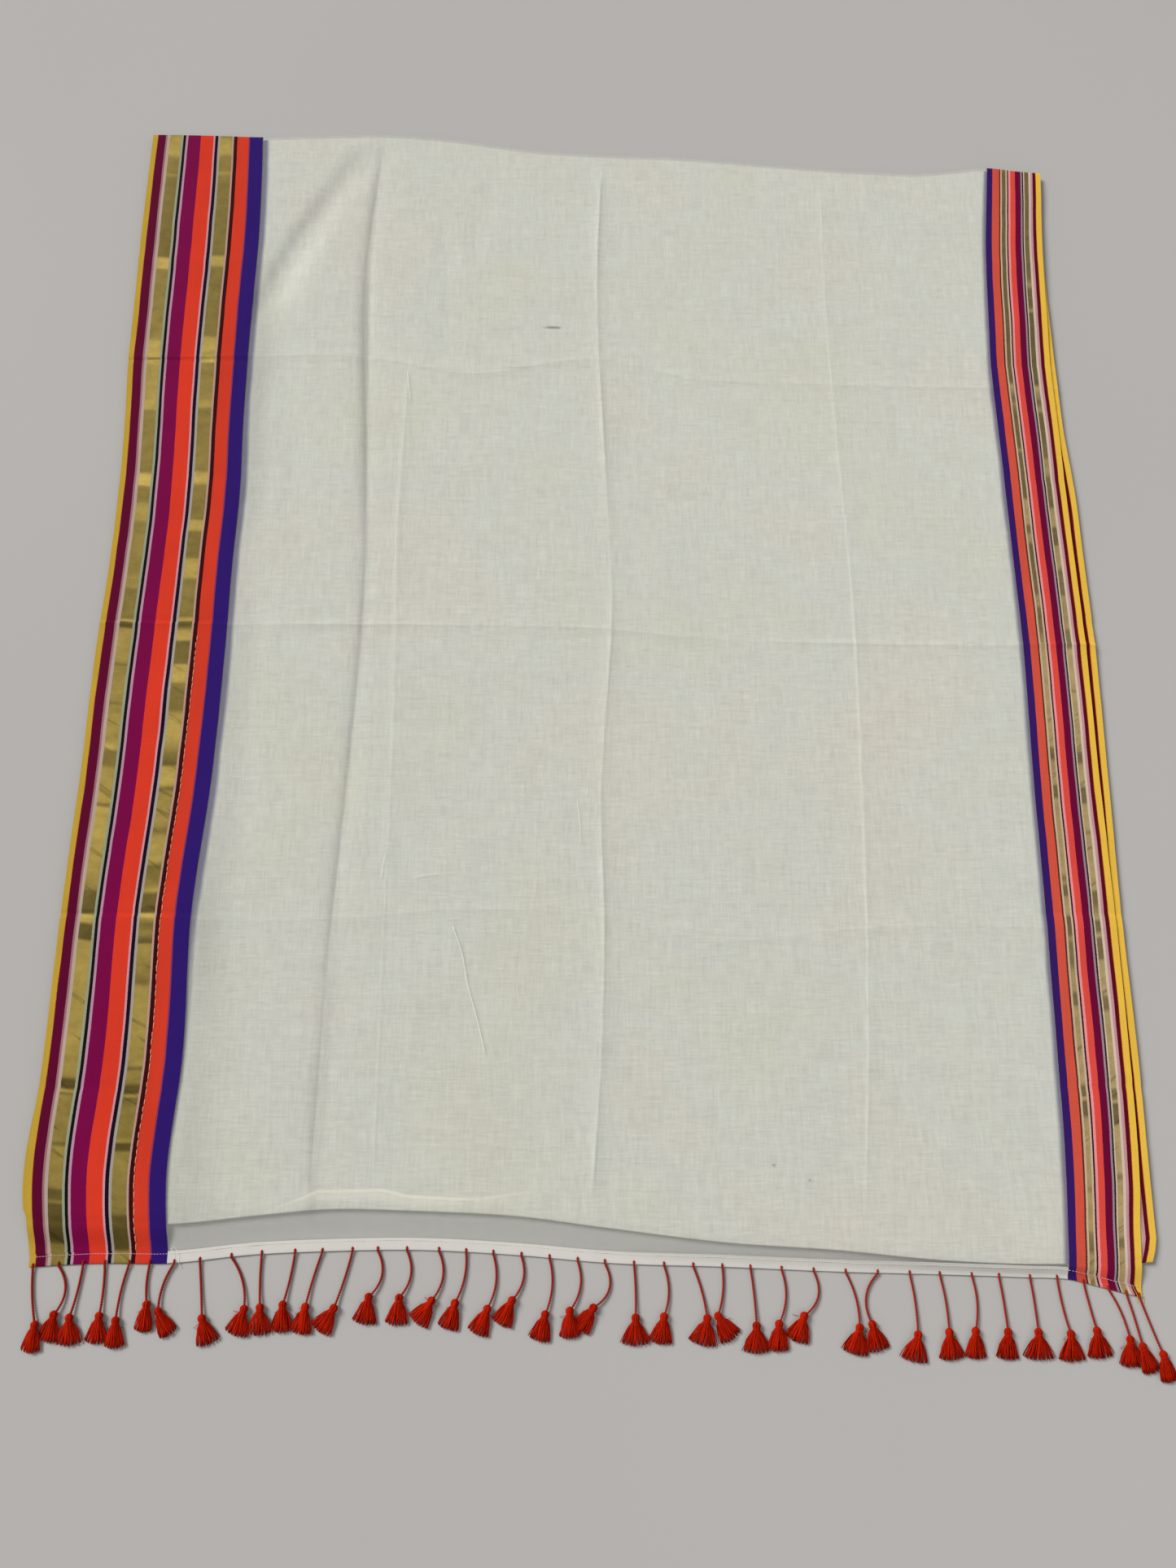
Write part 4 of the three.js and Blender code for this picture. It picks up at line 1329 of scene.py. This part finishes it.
def makeInnerLayers():
    points, flat = innerSurface()
    first = inner["borderColumns"]
    second = points.shape[1] - 1 - inner["borderColumns"]
    finish = ["wide", "innerVoile", "narrow"]
    layers = gridObject("innerLayersSheet", points, flat, finish, inner["thickness"], 0, [first, second])
    return finishPiece(layers, "inner_layers", "under_layers")


innerLayers = makeInnerLayers()
print("inner layers made")

# Threads, as joined tubes

upwards = (0.0, 0.0, 1.0)


def unit(vectors):
    return vectors / (np.linalg.norm(vectors, axis=-1, keepdims=True) + 1e-9)


def tubes(name, bundles, finish):
    # many thin threads as one mesh: a bundle is paths (threads, points, 3), radii (points), sides and tones
    points, faces, tones, start = [], [], [], 0
    for paths, radii, sides, tone in bundles:
        count, steps = paths.shape[:2]
        tangent = unit(np.gradient(paths, axis=1))
        aside = unit(np.cross(tangent, upwards))
        above = np.cross(aside, tangent)
        angle = np.arange(sides) * 2 * math.pi / sides + math.pi / 6
        ring = (
            paths[:, :, None, :]
            + radii[None, :, None, None] * np.cos(angle)[None, None, :, None] * aside[:, :, None, :]
            + radii[None, :, None, None] * np.sin(angle)[None, None, :, None] * above[:, :, None, :]
        )
        points.append(ring.reshape(-1, 3))
        tones.append(np.repeat(np.broadcast_to(tone, (count, steps)).ravel(), sides))
        thread = np.arange(count)[:, None, None] * steps * sides
        step = np.arange(steps - 1)[None, :, None] * sides
        side = np.arange(sides)[None, None, :]
        after = (side + 1) % sides
        low = start + thread + step
        quads = np.stack([low + side, low + sides + side, low + sides + after, low + after], -1)
        faces += quads.reshape(-1, 4).tolist()
        first = start + np.arange(count)[:, None] * steps * sides + np.arange(sides)[None]
        last = first + (steps - 1) * sides
        faces += first.tolist() + last[:, ::-1].tolist()
        start += count * steps * sides
    mesh = bpy.data.meshes.new(name)
    mesh.from_pydata((np.vstack(points) * mm).tolist(), [], faces)
    attribute = mesh.attributes.new("tone", "FLOAT", "POINT")
    attribute.data.foreach_set("value", np.concatenate(tones).astype(np.float32))
    mesh.materials.append(finishes[finish])
    return smoothObject(name, mesh)


sewing = {
    "lineInside": 9.5,  # machine stitch line above the hem's outer edge
    "stitchPitch": 3.0,
    "stitchLength": 2.5,
    "threadRadius": 0.28,
    "handLine": 108.9 / 140.9,  # share of the wide border's width: just inside the maroon stripe
    "handPitch": 8.6,
    "handLength": 6.0,
    "handRadius": 0.5,
    "machineLift": (-0.25, 0.22, 0.22, -0.25),  # a stitch comes up, runs along the top and goes down again
    "handLift": (-0.3, 0.25, 0.25, -0.3),
    "machineStray": 0.25,
    "handShift": (-0.9, 0.9),  # how unevenly stitches follow each other, and shares of their length
    "handLengths": (0.75, 1.2),
    "handStray": (-0.5, 0.5),  # off the line, and the slant
    "handTurn": (-0.25, 0.25),
    "handFrom": -634,
    "handTo": 40,
}


def sewThreads(name, places, radius, finish, slot):
    stitches = np.dstack(places)
    radii = np.full(stitches.shape[1], radius)
    finishPiece(tubes(name, [(stitches, radii, 5, 0.5)], finish), slot)


def makeHemStitches(name, first, last, finish, slot):
    starts = np.arange(first, last, sewing["stitchPitch"])
    x = starts[:, None] + np.array([0, 0.3, 0.7, 1])[None] * sewing["stitchLength"]
    y = endAt["hem"](x) + sewing["lineInside"] + sewing["machineStray"] * unevenness(x, 0 * x, 60, 31)
    lift = np.array(sewing["machineLift"])[None]
    z = topHeight(x, y) + cloth["hemThickness"] + lift
    sewThreads(name, (x, y, z), sewing["threadRadius"], finish, slot)


def makeHandStitches():
    random = np.random.default_rng(41)
    starts = np.arange(sewing["handFrom"], sewing["handTo"], sewing["handPitch"])
    starts = starts + random.uniform(*sewing["handShift"], len(starts))
    length = sewing["handLength"] * random.uniform(*sewing["handLengths"], len(starts))
    y = starts[:, None] + np.array([0, 0.2, 0.8, 1])[None] * length[:, None]
    left, seam = edgeAt["left"](y), edgeAt["wideSeam"](y)
    x = left + (seam - left) * sewing["handLine"] + random.uniform(*sewing["handStray"], (len(starts), 1))
    x = x + random.uniform(*sewing["handTurn"], (len(starts), 1)) * np.array([-1, -0.6, 0.6, 1])[None]
    lift = np.array(sewing["handLift"])[None]
    z = topHeight(x, y) + looseness(x, y) + cloth["wall"] + lift
    sewThreads("handStitches", (x, y, z), sewing["handRadius"], "handStitch", "wide_stripes")


makeHemStitches("wideHemStitches", -574, -440, "pinkThread", "wide_stripes")
makeHemStitches("fieldHemStitches", -437, 488, "whiteThread", "hem")
makeHemStitches("narrowHemStitches", 491, 560, "pinkThread", "narrow_stripes")
makeHandStitches()
print("stitches made")

# Loose and thick threads that lie on the cloth, a few at the hem's corners: points across and along
looseThreads = (
    ("paleThread", 0.3, ((-156, -299), (-145, -329), (-138, -363), (-128, -396), (-117, -438))),
    ("paleThread", 0.22, ((-201, -246), (-186, -242), (-172, -241))),
    ("paleThread", 0.22, ((-19, -156), (-16, -182), (-15, -206))),
    ("paleThread", 0.2, ((-233, -217), (-236, -232), (-237, -246))),
    ("paleThread", 0.2, ((-233, 400), (-227, 358))),
    ("whiteThread", 0.3, ((-437, -631), (-433, -637), (-431, -644), (-434, -650))),
    ("whiteThread", 0.26, ((-434, -630), (-428, -636), (-427, -646), (-424, -651))),
    ("yellowThread", 0.3, ((557, -668), (560, -676), (564, -683), (563, -689))),
    ("yellowThread", 0.26, ((553, -670), (557, -679), (557, -687))),
)


def makeLooseThreads():
    kinds = (
        ("paleThread", "loosePaleThreads", "voile"),
        ("whiteThread", "looseWhiteThreads", "hem"),
        ("yellowThread", "looseYellowThreads", "narrow_stripes"),
    )
    for finish, name, slot in kinds:
        bundles = []
        for thread, radius, corners in looseThreads:
            if thread != finish:
                continue
            corners = np.array(corners, float)
            t = np.linspace(0, len(corners) - 1, 6 * len(corners))
            x, y = (smoothCurve(np.arange(len(corners)), column)(t) for column in corners.T)
            outside = endAt["hem"](x) - y
            onHem = smoothStep(outside, -cloth["hemWidth"] - 1, -cloth["hemWidth"] + 1)
            z = topHeight(x, y) + looseness(x, y) + cloth["wall"] + 0.8 * onHem
            z = np.where(outside > -1, np.maximum(radius, 2.4 - 0.8 * (outside + 1)), z)
            radii = np.full(len(t), radius)
            radii[[0, -1]] = radius * 0.4
            bundles.append((np.dstack([x, y, z]), radii, 5, 0.5))
        finishPiece(tubes(name, bundles, finish), slot)


makeLooseThreads()
print("loose threads made")

# Tassels

tassel = {
    "floorGap": 0.4,
    "cordWidth": 2.4,
    "strandOffset": 0.6,
    "strandRadius": 0.84,
    "twistPitch": 5.2,
    "cordSteps": 46,
    "hemSteps": 5,
    "onHem": 3.6,  # the cord comes out of the hem this far above its outer edge
    "knotHeight": 6.4,
    "knotCore": (3.4, 3.9, 2.7),
    "neckSize": (3.15, 2.7),
    "neckTurns": 3,
    "neckThread": 0.5,
    "wispThread": 0.26,
    "skirtLength": 26.0,
    "fullness": 1.2,
    "threads": 92,
    "threadRadius": 0.54,
    "groups": 7,
    "tipHeight": 0.9,
}
knotAxis = tassel["floorGap"] + tassel["knotHeight"] / 2

# The bundle of threads over the knot: distance down the tassel, half its width and half its height there
knotProfile = (
    (-3.9, 0.6, 0.5),
    (-2.9, 2.5, 2.2),
    (-0.8, 3.9, 3.1),
    (1.6, 3.5, 2.9),
    (3.2, 3.1, 2.4),
    (5.4, 4.4, 2.6),
)

# One row for each tassel, as in the frame: where its cord leaves the hem, how far it swings aside and drops
# to the knot, how much it bows, how its skirt leans, in degrees, and how wide the skirt fans at its tip
tassels = (
    (-576, 9, 54, -2, -6, 17),
    (-550, 1, 46, 9, -9, 19),
    (-525, -8, 50, 1, 4, 22),
    (-503, 0, 49, 1, -4, 20),
    (-478, -8, 53, -2, 1, 17),
    (-457, 1, 38, -2, -5, 15),
    (-432, -12, 45, -4, 30, 17),
    (-406, 7, 54, 0, 18, 20),
    (-374, 17, 49, 5, -17, 21),
    (-343, 2, 50, -1, 1, 22),
    (-309, -9, 49, 1, 0, 19),
    (-281, -14, 52, -1, -9, 19),
    (-250, -16, 54, 1, -32, 19),
    (-224, -7, 44, 9, -10, 21),
    (-194, -6, 45, 8, -5, 20),
    (-161, -6, 47, 8, -33, 20),
    (-133, -10, 48, 4, -16, 19),
    (-105, -5, 52, 6, -23, 20),
    (-76, -9, 42, 7, -27, 19),
    (-47, -4, 53, 5, -13, 19),
    (-18, -8, 47, 7, 0, 18),
    (10, -12, 42, 11, -35, 18),
    (40, 1, 50, 1, -1, 24),
    (71, -1, 48, 5, -10, 21),
    (101, 13, 49, 2, -14, 25),
    (131, -6, 46, 3, 32, 20),
    (160, 4, 54, 1, -2, 23),
    (192, -5, 51, 6, -5, 19),
    (225, -12, 42, 10, -21, 21),
    (258, 11, 52, 4, -13, 23),
    (291, -9, 48, -9, 11, 22),
    (324, 4, 57, 2, -13, 24),
    (355, 5, 54, 2, 2, 22),
    (388, -1, 52, 4, -4, 19),
    (416, 4, 52, 1, -6, 20),
    (448, 3, 51, 1, -2, 26),
    (476, 8, 52, -1, -1, 24),
    (503, 8, 45, 0, 3, 23),
    (528, 16, 47, 3, 0, 21),
    (546, 10, 49, 1, 16, 16),
    (559, 17, 54, 0, 10, 16),
)


def cordPath(x, swing, drop, bow):
    # from the hem's top, over its edge, then along the floor and up to the knot
    rootY = float(endAt["hem"](np.array(x, float))) - 0.3
    length = math.hypot(swing, drop)
    run = np.array([swing, -drop]) / length
    side = np.array([-run[1], run[0]])
    t = np.linspace(0, 1, tassel["cordSteps"])
    place = np.array([x, rootY]) + run * length * t[:, None] + side * (bow * 4 * t * (1 - t))[:, None]
    low = tassel["floorGap"] + tassel["cordWidth"] / 2
    height = low + (knotAxis - low) * t**4
    over = np.linspace(tassel["onHem"], 0.9, tassel["hemSteps"])
    hemTop = cloth["hemThickness"] + 0.7
    overTop = np.column_stack([np.full_like(over, x), rootY + 0.3 + over, np.full_like(over, hemTop)])
    overTop[0, 2] -= 1.6
    overTop[1, 2] += 0.1
    ground = np.column_stack([place, height])
    ease = np.exp(-((t * length / 3.0) ** 2))
    ground[:, 2] = ground[:, 2] + (hemTop - 0.3 - low) * ease
    return np.vstack([overTop, ground])


def twisted(path, phase):
    # two strands that wind round a path
    tangent = unit(np.gradient(path, axis=0))
    aside = unit(np.cross(tangent, upwards))
    above = np.cross(aside, tangent)
    travelled = np.concatenate([[0], np.cumsum(np.linalg.norm(np.diff(path, axis=0), axis=1))])
    wound = []
    for start in (0, 0.5):
        angle = (2 * math.pi * (travelled / tassel["twistPitch"] + start) + phase)[:, None]
        wound.append(path + tassel["strandOffset"] * (np.cos(angle) * aside + np.sin(angle) * above))
    return np.array(wound)


def downTassel(knot, hang, distance, wide, height):
    # points this far down a tassel from its knot, this far to its side and this high
    x = knot[0] + hang[0] * distance - hang[1] * wide
    y = knot[1] + hang[1] * distance + hang[0] * wide
    return np.column_stack([x, y, height])


skirt = {
    "stray": (-0.03, 0.03),
    "uneven": (-1.3, 0.9),
    "rounding": 2.6,  # the outermost threads are this much shorter
    "shares": (0.35, 0.55, 0.78, 1.0),
    "grouping": 0.42,  # how far threads are drawn to the middle of their lock
    "neckHeight": 2.4,
    "middle": 1.7,
}


def skirtThreads(knot, hang, fan, random):
    # threads that pass over the knot's bulge, through its neck and down into the fan
    count = tassel["threads"]
    across = np.linspace(-1, 1, count) + random.uniform(*skirt["stray"], count)
    level = random.uniform(-1, 1, count)
    groupAt = (np.round((across + 1) / 2 * tassel["groups"] - 0.5) + 0.5) / tassel["groups"] * 2 - 1
    reach = tassel["skirtLength"] - skirt["rounding"] * across**2 + random.uniform(*skirt["uneven"], count)
    rounded = np.sin(across * math.pi / 2)
    up = np.sqrt(np.clip(1 - rounded**2, 0, 1)) * np.where(level > 0, 1, -1) * (0.55 + 0.45 * np.abs(level))
    rows = []
    for distance, spread, tall in knotProfile:
        rows.append((np.full(count, distance), rounded * spread, knotAxis + up * tall))
    neck, neckHigh = knotProfile[-1][1], skirt["neckHeight"]
    tip = fan / 2 * tassel["fullness"]
    for share in skirt["shares"]:
        pulled = across + (groupAt - across) * skirt["grouping"] * share
        wide = pulled * (neck + (tip - neck) * ((share - 0.22) / 0.78) ** 0.75)
        wide = wide + random.normal(0, 0.16 + 0.14 * share, count)
        middle = knotAxis + (tassel["floorGap"] + skirt["middle"] - knotAxis) * smoothStep(share, 0.15, 0.9)
        tall = neckHigh + (tassel["tipHeight"] - neckHigh) * share
        rows.append((reach * share, wide, middle + up * tall * (1 - 0.45 * across**2)))
    lowest = tassel["threadRadius"] + 0.15
    paths = [downTassel(knot, hang, down, wide, np.maximum(height, lowest)) for down, wide, height in rows]
    paths = np.moveaxis(np.array(paths), 0, 1)
    # painted light and shade: threads higher on the skirt are lighter, threads low down between the locks
    # darker; the random part is the threads' own change of tone
    paintedTopLight = 0.5 + 0.5 * up[:, None]
    tone = 0.25 + 0.55 * paintedTopLight + random.uniform(-0.22, 0.22, (count, 1))
    between = 1 - np.abs(across - groupAt)[:, None] * tassel["groups"]
    tone = tone - 0.25 * (1 - np.clip(between, 0, 1)) * np.linspace(0, 1, paths.shape[1])[None]
    return paths, tone


def neckWrap(knot, hang):
    # a thread wound round the neck
    turns = tassel["neckTurns"]
    angle = np.linspace(0, 2 * math.pi * turns, 12 * turns + 1)
    halfWide, halfTall = tassel["neckSize"]
    height = np.maximum(knotAxis + halfTall * np.sin(angle), 0.6)
    return downTassel(knot, hang, 3.0 + 1.1 * angle / angle[-1], halfWide * np.cos(angle), height)[None]


wisp = {
    "lean": (0.5, 1.25),
    "start": (-1, 5),  # down the tassel from its knot
    "length": (7, 12),
    "curl": (-3, 3),
    "high": 4.6,
    "arch": 0.8,
}


def wispThreads(knot, hang, count, random):
    # stray threads that stand off at the neck or beyond the skirt
    paths = []
    for _ in range(count):
        side = random.choice([-1, 1])
        lean = random.uniform(*wisp["lean"]) * side
        start = random.uniform(*wisp["start"])
        length = random.uniform(*wisp["length"])
        t = np.linspace(0, 1, 7)
        direction = np.array([
            hang[0] * math.cos(lean) - hang[1] * math.sin(lean),
            hang[1] * math.cos(lean) + hang[0] * math.sin(lean),
        ])
        base = np.array(knot) + np.array(hang) * start
        curl = random.uniform(*wisp["curl"])
        bend = np.array([-direction[1], direction[0]]) * (curl * t**2)[:, None]
        place = base + direction * (length * t)[:, None] + bend
        fall = (tassel["tipHeight"] - wisp["high"]) * smoothStep(t, 0, 0.9)
        height = wisp["high"] + fall + wisp["arch"] * np.sin(math.pi * t)
        paths.append(np.column_stack([place, height]))
    return np.array(paths)


def makeTassel(index, row):
    x, swing, drop, bow, lean, fan = row
    random = np.random.default_rng(100 + index)
    path = cordPath(x, swing, drop, bow)
    knot = path[-1, :2]
    leanAngle = math.radians(lean)
    hang = (math.sin(leanAngle), -math.cos(leanAngle))
    threads, tone = skirtThreads(knot, hang, fan, random)
    steps = threads.shape[1]
    radii = np.full(steps, tassel["threadRadius"])
    radii[0] *= 0.6
    radii[-1] *= 0.8
    wrap = neckWrap(knot, hang)
    wisps = wispThreads(knot, hang, int(random.integers(1, 4)), random)
    bundles = [
        (threads, radii, 3, tone),
        (wrap, np.full(wrap.shape[1], tassel["neckThread"]), 4, 0.62),
        (wisps, np.full(wisps.shape[1], tassel["wispThread"]), 3, 0.6),
    ]
    body = tubes(f"tassel{index:02d}", bundles, "tassel")
    # a solid core keeps the knot full between its threads
    bm = bmesh.new()
    bm.from_mesh(body.data)
    core = bmesh.ops.create_uvsphere(bm, u_segments=12, v_segments=8, radius=1.0)["verts"]
    bmesh.ops.scale(bm, vec=[reach * mm for reach in tassel["knotCore"]], verts=core)
    bmesh.ops.rotate(bm, cent=(0, 0, 0), matrix=Matrix.Rotation(leanAngle, 3, "Z"), verts=core)
    bmesh.ops.translate(bm, vec=(knot[0] * mm, knot[1] * mm, knotAxis * mm), verts=core)
    for vert in core:
        for face in vert.link_faces:
            face.smooth = True
    bm.to_mesh(body.data)
    bm.free()
    strands = twisted(path, random.uniform(0, 6))
    radii = np.full(len(path), tassel["strandRadius"])
    cord = tubes(f"tasselCord{index:02d}", [(strands, radii, 4, 0.6)], "cord")
    finishPiece(body, "tassel", f"tassel_{index:02d}")
    finishPiece(cord, "tassel")


for number, tasselRow in enumerate(tassels, 1):
    makeTassel(number, tasselRow)
print("tassels made:", len(tassels))
